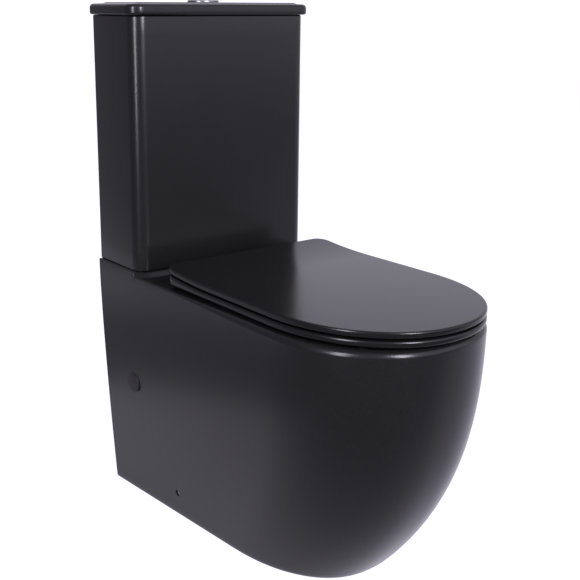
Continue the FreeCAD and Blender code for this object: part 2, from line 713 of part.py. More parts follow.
SHANK_R = 9.0
HEAD_Z = FILL_TOP - 50.0


def fill_valve_shank():
    """Threaded tail below, flange inside the cistern, and the standing pipe."""
    foot = CISTERN_FOOT - 45.0
    tail = tube(FILL_TAIL_R, 6.5, CISTERN_INSIDE - foot, FILL_X, VALVE_BACK, foot)
    thread_foot = CISTERN_FOOT - 9.0
    thread = tube(FILL_THREAD_R, 6.5, CISTERN_INSIDE - thread_foot, FILL_X, VALVE_BACK, thread_foot)
    flange = tube(16.0, 6.5, 3.5, FILL_X, VALVE_BACK, CISTERN_INSIDE + 2.5)
    neck = tube(FILL_THREAD_R, 6.5, 3.0, FILL_X, VALVE_BACK, CISTERN_INSIDE)
    pipe = tube(SHANK_R, 6.5, HEAD_Z - CISTERN_INSIDE, FILL_X, VALVE_BACK, CISTERN_INSIDE)
    return tail.multiFuse([thread, flange, neck, pipe])


def fill_valve_washer():
    return tube(15.0, FILL_THREAD_R + RUN, 2.5, FILL_X, VALVE_BACK, CISTERN_INSIDE)


def fill_valve_backnut():
    thick = 7.0
    nut = hexagon(30.0, thick, FILL_X, VALVE_BACK, CISTERN_FOOT - thick)
    return nut.cut(rod(FILL_THREAD_R + RUN, thick, FILL_X, VALVE_BACK, CISTERN_FOOT - thick))


PIVOT_BACK = VALVE_BACK - 14.0
FLOAT_ARM = 36.75             # from the lever's pivot to the float's rod
FLOAT_LEVER_Z = HEAD_Z + 43.0
FLOAT_FOOT = HEAD_Z - FLOAT_TRAVEL - 62.0


def fill_valve_head():
    """Diaphragm housing with its plunger, and a forked post for the float's lever."""
    drum = rod(19.0, 26.0, FILL_X, VALVE_BACK, HEAD_Z)
    dome = rod(16.0, 6.0, FILL_X, VALVE_BACK, HEAD_Z + 26)
    plunger = rod(3.0, 8.0, FILL_X, VALVE_BACK, HEAD_Z + 31)
    post = block(FILL_X - 5, FILL_X + 5, PIVOT_BACK + 4, PIVOT_BACK - 4, HEAD_Z + 10, FLOAT_LEVER_Z + 7)
    slot = block(FILL_X - 2.5, FILL_X + 2.5, PIVOT_BACK + 5, PIVOT_BACK - 5, FLOAT_LEVER_Z - 7, FLOAT_LEVER_Z + 8)
    pin = rod(1.5, 10.0, FILL_X - 5, PIVOT_BACK, FLOAT_LEVER_Z, ALONG_X)
    return drum.multiFuse([dome, plunger, post]).cut(slot).fuse(pin)


def down_tube():
    """Soft tube that quietens the incoming water."""
    drop_x = FILL_X + 32.0
    branch_z = HEAD_Z + 12.0
    foot = CISTERN_INSIDE + 30.0
    branch = rod(4.0, 32.0, FILL_X, VALVE_BACK, branch_z, ALONG_X)
    drop = rod(6.0, branch_z - foot, drop_x, VALVE_BACK, foot)
    bend = Part.makeSphere(6.0, Vector(drop_x, back(VALVE_BACK), branch_z))
    core = rod(4.5, branch_z - foot - 3, drop_x, VALVE_BACK, foot)
    body = drop.multiFuse([branch, bend]).cut(core)
    return body.cut(rod(19.0, 30.0, FILL_X, VALVE_BACK, HEAD_Z))


def fill_float():
    """Float cup that slides on the standing pipe."""
    cup = rod(24.0, 55.0, FILL_X, VALVE_BACK, FLOAT_FOOT)
    hollow = tube(21.5, 12.0, 50.0, FILL_X, VALVE_BACK, FLOAT_FOOT + 2.5)
    return cup.cut(hollow).cut(rod(SHANK_R + CLEAR, 60.0, FILL_X, VALVE_BACK, FLOAT_FOOT - 2))


def float_rod():
    """Threaded link on the cup's rim, with the collar that pushes the lever up."""
    distance = PIVOT_BACK + FLOAT_ARM
    foot = FLOAT_FOOT + 55.0
    link = rod(1.8, FLOAT_LEVER_Z + 14 - foot, FILL_X, distance, foot)
    clip = block(FILL_X - 4, FILL_X + 4, distance + 4, distance - 2, foot, foot + 4)
    collar_top = FLOAT_LEVER_Z - 3.5
    collar = block(FILL_X - 3, FILL_X + 3, distance + 3, distance - 6, collar_top - 3, collar_top)
    return link.multiFuse([clip, collar])


def float_lever():
    """Arm on top of the fill valve that shuts the water off."""
    z = FLOAT_LEVER_Z
    reach = FLOAT_ARM - 3.5
    arm = block(FILL_X - 2, FILL_X + 2, PIVOT_BACK + reach, PIVOT_BACK - 4, z - 2.5, z + 2.5)
    return arm.cut(rod(1.5 + RUN, 8.0, FILL_X - 4, PIVOT_BACK, z, ALONG_X))


# ---- Push button on the lid ----

KEY_FOOT = LID_TOP - 7.0
CUP_R = 24.0
CUP_BORE = 23.0
SLEEVE_R = 22.5
SLEEVE_BORE = 20.0
SLEEVE_FOOT = LID_FOOT - 16.0
WEB = 2.5


def button_housing():
    """Round bezel over a shallow cup, with a threaded sleeve that passes through the lid."""
    cup_foot = LID_TOP - 9.0
    cup = tube(CUP_R, CUP_BORE, LID_TOP + 1 - cup_foot, 0, VALVE_BACK, cup_foot)
    ledge = tube(CUP_R, SLEEVE_BORE, 2.0, 0, VALVE_BACK, cup_foot)
    sleeve = tube(SLEEVE_R, SLEEVE_BORE, cup_foot + 1 - SLEEVE_FOOT, 0, VALVE_BACK, SLEEVE_FOOT)
    bezel = tube(BUTTON_R, CUP_BORE, BUTTON_RISE, 0, VALVE_BACK, LID_TOP)
    top = [edge for edge in bezel.Edges if edge.BoundBox.ZMin > LID_TOP + BUTTON_RISE - 0.1]
    bezel = bezel.makeFillet(1.2, top)
    web = rod(SLEEVE_BORE + 0.5, WEB, 0, VALVE_BACK, SLEEVE_FOOT)
    for side in (-1, 1):
        web = web.cut(rod(ROD_R + CLEAR, WEB, side * ROD_HALF, lever_depth(side), SLEEVE_FOOT))
    return cup.multiFuse([ledge, sleeve, bezel, web])


def button_locknut():
    thick = 6.0
    low = LID_FOOT + LID_RECESS - thick
    nut = rod(30.0, thick, 0, VALVE_BACK, low)
    for turn in range(8):
        angle = math.radians(45 * turn)
        notch = rod(3.0, thick, 30 * math.cos(angle), VALVE_BACK + 30 * math.sin(angle), low)
        nut = nut.cut(notch)
    return nut.cut(rod(SLEEVE_R + RUN, thick, 0, VALVE_BACK, low))


def button_key(side):
    """One of the two keys: part of a disc with its skirt and a post, cut off at a straight gap."""
    top = LID_TOP + BUTTON_RISE - 0.5
    disc = rod(CUP_BORE - CLEAR, 2.0, 0, VALVE_BACK, top - 2)
    disc = disc.makeFillet(0.8, [edge for edge in disc.Edges if edge.BoundBox.ZMin > top - 0.1])
    skirt = tube(SLEEVE_BORE - CLEAR, SLEEVE_BORE - 2, top - KEY_FOOT - 1, 0, VALVE_BACK, KEY_FOOT)
    reach = 2 * CUP_R
    low_x, high_x = (BUTTON_SPLIT + 0.3, reach) if side > 0 else (-reach, BUTTON_SPLIT - 0.3)
    keep = block(low_x, high_x, VALVE_BACK + reach, VALVE_BACK - reach, KEY_FOOT - 1, top + 1)
    key = disc.fuse(skirt).common(keep)
    post = rod(4.0, top - KEY_FOOT - 1, side * ROD_HALF, lever_depth(side), KEY_FOOT)
    return key.fuse(post)


def button_rod(side):
    """Plastic rod, cut to length, that reaches down to the lever."""
    low = LEVER_Z + LEVER_HALF + 1.0
    return rod(ROD_R, KEY_FOOT - low, side * ROD_HALF, lever_depth(side), low)


def button_spring(side):
    """Coil around the rod, between the housing's web and the key's post."""
    low = SLEEVE_FOOT + WEB
    wire = 0.5
    height = KEY_FOOT - low - 2 * wire
    helix = Part.makeHelix(height / 6, height, ROD_R + 1.1)
    circle = Part.Wire(Part.makeCircle(wire, Vector(ROD_R + 1.1, 0, 0), ALONG_Y))
    coil = Part.Wire(helix).makePipeShell([circle], True, True)
    coil.translate(Vector(side * ROD_HALF, back(lever_depth(side)), low + wire))
    return coil


# ---- Seat ----

def seat_rise(distance):
    """Extra height of the seat's top, which curves up over the rear stretch."""
    into = max(0.0, SEAT_BACK + RISE_LENGTH - distance)
    return REAR_RISE * (into / RISE_LENGTH) ** 2


def seat_outline(z):
    """Straight back with rounded corners, straight sides and a rounded front."""
    half = SEAT_HALF
    rear = SEAT_BACK
    corner = SEAT_CORNER
    nose = []
    for step in range(13):
        turn = math.pi / 2 * step / 12
        distance = SEAT_STRAIGHT + (SEAT_FRONT - SEAT_STRAIGHT) * math.sin(turn) ** (2 / SEAT_ROUND)
        width = half * max(0.0, math.cos(turn)) ** (2 / SEAT_ROUND)
        nose.append(Vector(width, back(distance), z))
    nose = nose + [Vector(-point.x, point.y, z) for point in reversed(nose[:-1])]
    curve = Part.BSplineCurve()
    curve.interpolate(nose, InitialTangent=Vector(0, -1, 0), FinalTangent=Vector(0, 1, 0))
    near = corner * (1 - math.sqrt(0.5))
    edges = [curve.toShape()]
    side_top = Vector(-half, back(rear + corner), z)
    edges.append(Part.LineSegment(nose[-1], side_top).toShape())
    rear_left = Vector(-half + corner, back(rear), z)
    edges.append(Part.Arc(side_top, Vector(-half + near, back(rear + near), z), rear_left).toShape())
    rear_right = Vector(half - corner, back(rear), z)
    edges.append(Part.LineSegment(rear_left, rear_right).toShape())
    side_low = Vector(half, back(rear + corner), z)
    edges.append(Part.Arc(rear_right, Vector(half - near, back(rear + near), z), side_low).toShape())
    edges.append(Part.LineSegment(side_low, nose[0]).toShape())
    return Part.Wire(edges)


def seat_layer(front_low, front_high, low_rises):
    """Side view of a layer of the seat, as wide as the seat, with its curved rear."""
    start = SEAT_BACK - 20
    end = SEAT_FRONT + 20
    reach = SEAT_BACK + RISE_LENGTH

    def curve(z, rises):
        flat_end = Vector(-SEAT_HALF - 20, back(end), z)
        flat_start = Vector(-SEAT_HALF - 20, back(reach), z)
        if not rises:
            return [Part.LineSegment(flat_end, Vector(-SEAT_HALF - 20, back(start), z)).toShape()], \
                Vector(-SEAT_HALF - 20, back(start), z)
        points = []
        for step in range(7):
            distance = reach + (start - reach) * step / 6
            points.append(Vector(-SEAT_HALF - 20, back(distance), z + seat_rise(distance)))
        spline = Part.BSplineCurve()
        spline.interpolate(points)
        return [Part.LineSegment(flat_end, flat_start).toShape(), spline.toShape()], points[-1]

    low_edges, low_end = curve(front_low, low_rises)
    high_edges, high_end = curve(front_high, True)
    edges = low_edges + high_edges
    edges.append(Part.LineSegment(low_end, high_end).toShape())
    ends = (Vector(-SEAT_HALF - 20, back(end), front_low), Vector(-SEAT_HALF - 20, back(end), front_high))
    edges.append(Part.LineSegment(*ends).toShape())
    profile = Part.Wire(Part.__sortEdges__(edges))
    return Part.Face(profile).extrude(Vector(2 * SEAT_HALF + 40, 0, 0))


def seat_blank(front_low, front_high, low_rises):
    low = front_low - 5
    plan = Part.Face(seat_outline(low)).extrude(Vector(0, 0, front_high - low + 30))
    return plan.common(seat_layer(front_low, front_high, low_rises))


GASKET = 0.8
HINGE_PLATE = 1.5
HINGE_PLATE_R = 13.0
LUG_INNER = SEAT_BOLT_HALF + POST_WIDTH / 2 + CLEAR
LUG_OUTER = LUG_INNER + LUG_WIDTH
PIN_INNER = SEAT_BOLT_HALF - HINGE_PLATE_R - 8
PIN_OUTER = LUG_OUTER + 10


def hinge_pocket():
    """Room in the ring for one hinge post and the lid's lug, open at the rear."""
    low = SEAT_BOLT_HALF - HINGE_PLATE_R - CLEAR
    return block(low, LUG_OUTER + 1, HINGE_BACK + POST_R + 2, SEAT_BACK - 5, RING_FOOT - 1, SEAT_LID_TOP + REAR_RISE)


def hinge_bore():
    length = PIN_OUTER - PIN_INNER + 1
    return rod(HINGE_PIN_R + RUN, length, PIN_INNER - 0.5, HINGE_BACK, HINGE_Z, ALONG_X)


def ring_mouth(z, height):
    """Egg-shaped opening of the ring."""
    front = SEAT_FRONT - RING_BAND
    points = []
    for step in range(24):
        turn = 2 * math.pi * step / 24
        across = math.copysign(abs(math.sin(turn)) ** (2 / BOWL_ROUND), math.sin(turn))
        along = math.copysign(abs(math.cos(turn)) ** (2 / BOWL_ROUND), math.cos(turn))
        reach = (front - BOWL_MIDDLE) if along > 0 else (BOWL_MIDDLE - RING_MOUTH_REAR)
        points.append(Vector(RING_MOUTH_HALF * across, back(BOWL_MIDDLE + reach * along), z))
    return Part.Face(smooth_loop(points)).extrude(Vector(0, 0, height))


def seat_ring():
    """Moulded ring, thicker towards its hinges, bored for the hinge pins."""
    body = seat_blank(RING_FOOT, RING_TOP, False)
    body = body.cut(ring_mouth(RING_FOOT - 1, RING_THICK + REAR_RISE + 2))
    for void in (hinge_pocket(), hinge_bore()):
        body = body.cut(void).cut(mirrored(void))
    return body


def seat_lid():
    """Flat cover of the ring's outline, softly curved up at the rear, with a lug at each hinge."""
    body = seat_blank(SEAT_LID_FOOT, SEAT_LID_TOP, True)
    lug = block(LUG_INNER, LUG_OUTER, HINGE_BACK + POST_R, HINGE_BACK - POST_R, HINGE_Z, SEAT_LID_TOP)
    lug = lug.fuse(rod(POST_R, LUG_WIDTH, LUG_INNER, HINGE_BACK, HINGE_Z, ALONG_X)).cut(hinge_bore())
    return body.multiFuse([lug, mirrored(lug)])


def bumpers(z, height, places):
    """Small soft feet under a layer of the seat, the same on both sides."""
    feet = []
    for x, distance in places:
        foot = rod(6.0, height, x, distance, z)
        feet.extend([foot, mirrored(foot)])
    return Part.makeCompound(feet)


def ring_bumpers():
    side = SEAT_HALF - 20.0
    places = ((side, RING_MOUTH_REAR + 62), (105.0, SEAT_FRONT - 73))
    return bumpers(RIM_Z + BUMPER_GAP, RING_GAP - BUMPER_GAP, places)


def lid_bumpers():
    side = SEAT_HALF - 20.0
    places = ((side, RING_MOUTH_REAR + 77), (95.0, SEAT_FRONT - 63))
    return bumpers(RING_TOP + BUMPER_GAP, LID_SEAT_GAP - BUMPER_GAP, places)


STUD_R = 4.0
STUD_FOOT = DECK_UNDER - 20.0


def hinge_gaskets():
    return both_sides(tube(HINGE_PLATE_R, STUD_R, GASKET, SEAT_BOLT_HALF, HINGE_BACK, RIM_Z))


def hinge_plates():
    """Round metal plate under each post."""
    return both_sides(tube(HINGE_PLATE_R, STUD_R, HINGE_PLATE, SEAT_BOLT_HALF, HINGE_BACK, RIM_Z + GASKET))


def hinge_studs():
    """Studs that hang from the plates through the pan's seat holes."""
    height = RIM_Z + GASKET + HINGE_PLATE - STUD_FOOT
    return both_sides(rod(STUD_R, height, SEAT_BOLT_HALF, HINGE_BACK, STUD_FOOT))


def expanding_nuts():
    """Rubber sleeves that swell in the holes when the studs are tightened."""
    length = RIM_Z - STUD_FOOT - 4
    return both_sides(tube(SEAT_HOLE_R - 0.1, STUD_R, length, SEAT_BOLT_HALF, HINGE_BACK, STUD_FOOT + 4))


def stud_nuts():
    height = 4.0
    nut = hexagon(13.0, height, SEAT_BOLT_HALF, HINGE_BACK, STUD_FOOT)
    return both_sides(nut.cut(rod(STUD_R, height, SEAT_BOLT_HALF, HINGE_BACK, STUD_FOOT)))


DAMPER_R = 4.5


def hinge_post(side):
    """Upright with a round top, bored for the damper that slows the seat."""
    low = SEAT_BOLT_HALF - POST_WIDTH / 2
    foot = RIM_Z + GASKET + HINGE_PLATE
    post = block(low, low + POST_WIDTH, HINGE_BACK + POST_R, HINGE_BACK - POST_R, foot, HINGE_Z)
    post = post.fuse(rod(POST_R, POST_WIDTH, low, HINGE_BACK, HINGE_Z, ALONG_X))
    post = post.cut(rod(DAMPER_R, POST_WIDTH, low, HINGE_BACK, HINGE_Z, ALONG_X))
    return post if side > 0 else mirrored(post)


def hinge_dampers():
    """Sleeves of thick grease around the pins, which make the seat close softly."""
    low = SEAT_BOLT_HALF - POST_WIDTH / 2
    return both_sides(tube(DAMPER_R, HINGE_PIN_R, POST_WIDTH, low, HINGE_BACK, HINGE_Z, ALONG_X))


def hinge_pins():
    return both_sides(rod(HINGE_PIN_R, PIN_OUTER - PIN_INNER, PIN_INNER, HINGE_BACK, HINGE_Z, ALONG_X))


def build():
    os.makedirs("parts", exist_ok=True)
    castings = pan_castings()
    pieces = {
        **castings,
        "access_cap_left": access_cap(-1, castings["pan_skirt"]),
        "access_cap_right": access_cap(1, castings["pan_skirt"]),
        "floor_brackets": floor_brackets(),
        "side_screws": side_screws(),
        "support_pads": support_pads(),
        "coupling_seal": coupling_seal(),
        "cistern": cistern(),
        "cistern_bolts": cistern_bolts(),
        "cistern_bolt_seals": bolt_seals(),
        "cistern_bolt_washers": bolt_washers(),
        "cistern_wing_nuts": wing_nuts(),
        "flush_valve_base": flush_valve_base(),
        "flush_valve_washer": flush_valve_washer(),
        "flush_valve_backnut": flush_valve_backnut(),
        "flush_cage": flush_cage(),
        "lever_pins": lever_pins(),
        "overflow_tube": overflow_tube(),
        "stem_link": stem_link(),
        "valve_seal": valve_seal(),
        "seal_retainer": seal_retainer(),
        "stem_float": stem_float(),
        "full_flush_lever": lever(1),
        "half_flush_lever": half_flush_lever(),
        "fill_valve_shank": fill_valve_shank(),
        "fill_valve_washer": fill_valve_washer(),
        "fill_valve_backnut": fill_valve_backnut(),
        "fill_valve_head": fill_valve_head(),
        "down_tube": down_tube(),
        "fill_float": fill_float(),
        "float_rod": float_rod(),
        "float_lever": float_lever(),
        "cistern_lid": cistern_lid(),
        "lid_pads": lid_pads(),
        "button_housing": button_housing(),
        "button_locknut": button_locknut(),
        "full_flush_button": button_key(1),
        "half_flush_button": button_key(-1),
        "full_flush_rod": button_rod(1),
        "half_flush_rod": button_rod(-1),
        "full_flush_spring": button_spring(1),
        "half_flush_spring": button_spring(-1),
        "seat_ring": seat_ring(),
        "ring_bumpers": ring_bumpers(),
        "seat_lid": seat_lid(),
        "lid_bumpers": lid_bumpers(),
        "hinge_post_left": hinge_post(-1),
        "hinge_post_right": hinge_post(1),
        "hinge_dampers": hinge_dampers(),
        "hinge_pins": hinge_pins(),
        "hinge_plates": hinge_plates(),
        "hinge_gaskets": hinge_gaskets(),
        "hinge_studs": hinge_studs(),
        "expanding_nuts": expanding_nuts(),
        "stud_nuts": stud_nuts(),
    }
    for name, shape in pieces.items():
        save(name, shape)


build()
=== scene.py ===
import math

import bmesh
import bpy
from mathutils import Matrix, Vector


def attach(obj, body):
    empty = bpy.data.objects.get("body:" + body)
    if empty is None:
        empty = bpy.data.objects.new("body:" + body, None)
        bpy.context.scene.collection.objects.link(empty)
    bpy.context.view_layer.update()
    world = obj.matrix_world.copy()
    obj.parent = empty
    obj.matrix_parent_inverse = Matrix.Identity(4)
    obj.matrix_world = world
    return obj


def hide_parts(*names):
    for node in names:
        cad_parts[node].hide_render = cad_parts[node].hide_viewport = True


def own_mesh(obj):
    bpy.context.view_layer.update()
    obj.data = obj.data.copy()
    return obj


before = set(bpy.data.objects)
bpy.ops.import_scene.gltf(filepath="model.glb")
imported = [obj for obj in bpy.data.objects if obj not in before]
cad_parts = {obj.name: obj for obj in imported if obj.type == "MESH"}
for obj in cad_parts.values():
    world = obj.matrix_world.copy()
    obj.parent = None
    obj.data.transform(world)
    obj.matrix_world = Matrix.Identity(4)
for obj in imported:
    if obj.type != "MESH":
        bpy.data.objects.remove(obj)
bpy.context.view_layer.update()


# ---- Camera ----
# A long lens at the height of the cistern lid, in front and to the left, looking down a little.
# Colours are shown as they are, without a film curve.
eye = Vector((-0.9566, -1.1427, 0.8501))
heading = 0.659
dip = 0.261
roll = 0.005
ahead = Vector((math.sin(heading) * math.cos(dip), math.cos(heading) * math.cos(dip), -math.sin(dip)))
lens = bpy.data.cameras.new("camera")
lens.sensor_width = 36.0
lens.lens = 60.67
lens.shift_x = 0.0445
lens.shift_y = -0.0434
camera = bpy.data.objects.new("camera", lens)
bpy.context.scene.collection.objects.link(camera)
camera.matrix_world = (Matrix.Translation(eye) @ ahead.to_track_quat("-Z", "Y").to_matrix().to_4x4()
                       @ Matrix.Rotation(roll, 4, "Z"))
bpy.context.scene.camera = camera
bpy.context.scene.view_settings.view_transform = "Standard"


# ---- Materials' arithmetic ----
# Values on their way through a shader are added and multiplied like numbers. A finish is one
# material: its shader, and the nodes that vary its colour, roughness and grain.

class Wire:
    """One value on its way through a shader, so that sums are written as sums."""

    def __init__(self, finish, socket):
        self.finish = finish
        self.socket = socket

    def combine(self, operation, first, second):
        node = self.finish.node("ShaderNodeMath", {"operation": operation}, {0: first, 1: second})
        return Wire(self.finish, node.outputs[0])

    def __add__(self, other):
        return self.combine("ADD", self, other)

    def __sub__(self, other):
        return self.combine("SUBTRACT", self, other)

    def __rsub__(self, other):
        return self.combine("SUBTRACT", other, self)

    def __mul__(self, other):
        return self.combine("MULTIPLY", self, other)

    def least(self, other):
        return self.combine("MINIMUM", self, other)

    __radd__ = __add__
    __rmul__ = __mul__


class Finish:
    """A material under construction: its principled shader and the nodes that vary it."""

    def __init__(self, name, colour, roughness, metallic=0.0, **constants):
        self.material = bpy.data.materials.new(name)
        self.material.use_nodes = True
        self.tree = self.material.node_tree
        self.surface = self.tree.nodes["Principled BSDF"]
        self.set("Base Color", (*colour, 1.0))
        self.set("Roughness", roughness)
        self.set("Metallic", metallic)
        for socket, value in constants.items():
            self.set(socket.replace("_", " ").title().replace("Ior", "IOR"), value)

    def set(self, socket, value):
        """Puts a number, a colour or a wire on one of the shader's sockets."""
        self.join(self.surface.inputs[socket], value)

    def join(self, socket, value):
        if isinstance(value, Wire):
            value = value.socket
        if isinstance(value, bpy.types.NodeSocket):
            self.tree.links.new(value, socket)
        else:
            socket.default_value = value

    def node(self, kind, settings=None, inputs=None):
        """Any node: its type, its settings, then the values or wires of its sockets."""
        node = self.tree.nodes.new(kind)
        for name, value in (settings or {}).items():
            setattr(node, name, value)
        for name, value in (inputs or {}).items():
            self.join(node.inputs[name], value)
        return node

    def place(self, stretch=(1.0, 1.0, 1.0)):
        """The piece's own coordinates, in metres, stretched along an axis where asked."""
        here = self.node("ShaderNodeTexCoord").outputs["Object"]
        mapping = self.node("ShaderNodeMapping", None, {"Vector": here, "Scale": stretch})
        return mapping.outputs[0]

    def noise(self, scale, detail=3.0, stretch=(1.0, 1.0, 1.0)):
        node = self.node("ShaderNodeTexNoise", None, {
            "Vector": self.place(stretch), "Scale": scale, "Detail": detail})
        return Wire(self, node.outputs["Fac"])

    def tint(self, amount, low, high):
        """A colour between two colours."""
        mix = self.node("ShaderNodeMix", {"data_type": "RGBA"}, {
            0: amount, 6: (*low, 1.0), 7: (*high, 1.0)})
        return mix.outputs[2]

    def bump(self, height, distance, strength):
        """A fine relief in the surface: its pattern, its depth in metres and its share."""
        node = self.node("ShaderNodeBump", None, {
            "Height": height, "Distance": distance, "Strength": strength})
        self.set("Normal", node.outputs[0])


# ---- Floor and light ----
# A white matt sweep in painted light: it glows, and soft darker stretches of painted shade lie
# in its colour and glow to the left and in front, for the glaze to reflect. The sky above is brighter to the
# right and in front. Two tall panels of light, one almost in front and one to the left, draw the bright lines
# down the cistern's corner.

def soft_noise(finish, scale, low, high, **more):
    """A grey that wanders slowly between two values."""
    return low + finish.noise(scale, **more) * (high - low)


def new_piece(name, points, faces):
    """An object at the origin from points in metres and faces."""
    mesh = bpy.data.meshes.new(name)
    mesh.from_pydata(points, [], faces)
    mesh.validate()
    piece = bpy.data.objects.new(name, mesh)
    bpy.context.scene.collection.objects.link(piece)
    return piece


def soft_step(finish, value, start, end, before, after):
    """Goes softly from one value to another while its input passes from start to end."""
    node = finish.node("ShaderNodeMapRange", {"interpolation_type": "SMOOTHSTEP"}, {
        "Value": value, "From Min": start, "From Max": end, "To Min": before, "To Max": after})
    return Wire(finish, node.outputs[0])


FLOOR_REACH = 9
paper = Finish("paper", (0.16, 0.16, 0.16), 0.9, specular_ior_level=0.0)
ground = paper.node("ShaderNodeSeparateXYZ", None, {0: paper.node("ShaderNodeTexCoord").outputs["Object"]})
across_floor = Wire(paper, ground.outputs[0])
along_floor = Wire(paper, ground.outputs[1])
leftwards = along_floor * 0.39 - across_floor
# Painted shade: the floor is darker in a band to the left of the object, darker again farther out, and darker
# in front.
painted_shade_near = soft_step(paper, leftwards, 0.56, 0.72, 1.0, 0.0)
painted_shade_far = soft_step(paper, leftwards, 0.95, 1.35, 0.0, 0.9)
painted_shade_back = soft_step(paper, leftwards, 1.35, 2.1, 0.0, 0.68)
painted_shade_from_left = painted_shade_near + painted_shade_far - painted_shade_back
painted_shade_from_front = (across_floor * 0.61 + along_floor * 0.79) * 1.5 + 1.05
painted_light_pool = soft_step(paper, painted_shade_from_left.least(painted_shade_from_front), 0.0, 1.0, 0.0, 1.0)
# Painted light and shade: the floor's colour and glow follow the painted pool, and its glow lightens the
# shadows cast on it.
paper.set("Base Color", paper.tint(painted_light_pool, (0.06, 0.06, 0.06), (0.16, 0.16, 0.16)))
paper.set("Emission Color", paper.tint(painted_light_pool, (0.33, 0.32, 0.39), (1.036, 1.0, 1.20)))
paper.set("Emission Strength", 0.83)
floor = new_piece("floor", [
    (-FLOOR_REACH, -FLOOR_REACH, 0), (FLOOR_REACH, -FLOOR_REACH, 0),
    (FLOOR_REACH, FLOOR_REACH, 0), (-FLOOR_REACH, FLOOR_REACH, 0)], [(0, 1, 2, 3)])
floor.data.materials.append(paper.material)

sky = bpy.data.worlds.new("sky")
sky.use_nodes = True
sky_nodes = sky.node_tree.nodes
direction = sky_nodes.new("ShaderNodeTexCoord")
split = sky_nodes.new("ShaderNodeSeparateXYZ")
side_of_sky = sky_nodes.new("ShaderNodeMapRange")
side_of_sky.interpolation_type = "SMOOTHSTEP"
brighter_front = sky_nodes.new("ShaderNodeMapRange")
brighter_front.interpolation_type = "SMOOTHSTEP"
shades = sky_nodes.new("ShaderNodeMix")
shades.data_type = "RGBA"
for socket, value in (("From Min", -0.45), ("From Max", 0.15)):
    side_of_sky.inputs[socket].default_value = value
for socket, value in (("From Min", -0.75), ("From Max", -0.2), ("To Min", 1.5), ("To Max", 0.60)):
    brighter_front.inputs[socket].default_value = value
shades.inputs[6].default_value = (0.72, 0.68, 0.84, 1.0)
shades.inputs[7].default_value = (1.90, 1.83, 2.13, 1.0)
background = sky_nodes["Background"]
for start, end in ((direction.outputs["Generated"], split.inputs[0]),
                   (split.outputs[0], side_of_sky.inputs["Value"]),
                   (side_of_sky.outputs[0], shades.inputs[0]),
                   (split.outputs[1], brighter_front.inputs["Value"]),
                   (brighter_front.outputs[0], background.inputs["Strength"]),
                   (shades.outputs[2], background.inputs["Color"])):
    sky.node_tree.links.new(start, end)
bpy.context.scene.world = sky


PANEL_AWAY = 2.6
PANEL_TOP = 2.5
PANEL_AIM = Vector((0, 0, 0.4))


def panel(name, azimuth, width, low, power):
    """An upright panel of light that faces the object; azimuth 0 is in front, positive to the left."""
    light = bpy.data.lights.new(name, "AREA")
    light.shape = "RECTANGLE"
    light.size = width
    light.size_y = PANEL_TOP - low
    light.energy = power
    light.color = (1.0, 0.96, 1.10)
    lamp = bpy.data.objects.new(name, light)
    bpy.context.scene.collection.objects.link(lamp)
    turn = math.radians(azimuth)
    place = Vector((-math.sin(turn) * PANEL_AWAY, -math.cos(turn) * PANEL_AWAY, (low + PANEL_TOP) / 2))
    lamp.location = place
    lamp.rotation_euler = (PANEL_AIM - place).to_track_quat("-Z", "Y").to_euler()


panel("front_panel", 9.0, 0.70, 0.85, 200.0)
panel("left_panel", 72.0, 0.50, 0.35, 155.0)


# ---- Pan ----
# One casting in black stoneware with a satin glaze. Skirt, deck, bowl, trap and spigot are
# cast apart, stuck together wet and fired as one. It stands on the floor against the wall.

# In metres. A name in _LINE is a distance from the wall, one in _X is a distance from the middle
# of the toilet to the side, and one in _Z is a height.
WALL = 0.3315
RIM = 0.414
SHELF = 0.4225
SHELF_FRONT = 0.1390
SHELF_HALF = 0.1735
SHELF_CORNER = 0.026
PAN_DEPTH = 0.6565
PAN_HALF = 0.177
NOSE_TUCK = 0.146
NOSE_BEND = 2.62
SIDE_TUCK = 0.020
SIDE_BEND = 1.45
FOOT_TAPER = 0.071
TAPER_GAIN = 0.055
PIPE_LINE = 0.068
BOLT_X = 0.080
SUPPLY_X = -0.125
STUD_X = 0.0775
HINGE_LINE = 0.2015
CAP_LINE = 0.092
CAP_Z = 0.219
SCREW_LINE = 0.194
SCREW_Z = 0.045
OUTLET_Z = 0.185
BOWL_FLOOR = 0.122
BOWL_DEPTH = 0.292


def at(x, distance, z):
    """A point in the row frame from its distance to the wall."""
    return (x, WALL - distance, z)


def spread(first, last, count):
    """Evenly spaced numbers, both ends included."""
    return [first + (last - first) * step / (count - 1) for step in range(count)]


def smooth(value):
    value = min(1.0, max(0.0, value))
    return value * value * (3 - 2 * value)


def shelf_height(x, distance):
    """Top of the deck, which steps up softly to a shelf with the cistern's outline."""
    turned_in = min(SHELF_CORNER, max(0.0, abs(x) - SHELF_HALF + SHELF_CORNER))
    step = SHELF_FRONT - SHELF_CORNER + math.sqrt(SHELF_CORNER ** 2 - turned_in ** 2)
    return RIM + (SHELF - RIM) * smooth(0.5 + (step - distance) / 0.0100)


STEP_REAR = 0.104
STEP_FRONT = 0.148


def pan_outline(z, inset, rear):
    """Right half of the pan's outline at a height, from the wall to the nose."""
    fall = max(0.0, 1 - z / RIM)
    grow = 1 - fall ** NOSE_BEND
    length = PAN_DEPTH - NOSE_TUCK * fall ** NOSE_BEND - inset
    half = PAN_HALF - SIDE_TUCK * fall ** SIDE_BEND - inset
    taper = FOOT_TAPER - TAPER_GAIN * grow
    straight = (length + inset) * (0.640 + 0.059 * grow) - inset * 0.5
    power = 2.41 - 0.12 * grow
    stations = spread(rear, STEP_REAR, 9)[:-1]
    stations += spread(STEP_REAR, STEP_FRONT, 37)[:-1]
    stations += spread(STEP_FRONT, straight, 26)[:-1]
    side = [(half - taper * distance, distance) for distance in stations]
    for turn in spread(0.0, math.pi / 2, 50):
        distance = straight + (length - straight) * math.sin(turn) ** (2 / power)
        width = (half - taper * distance) * max(0.0, math.cos(turn)) ** (2 / power)
        side.append((width, distance))
    side[-1] = (0.0, side[-1][1])
    return side


REAR_STEPS = 48


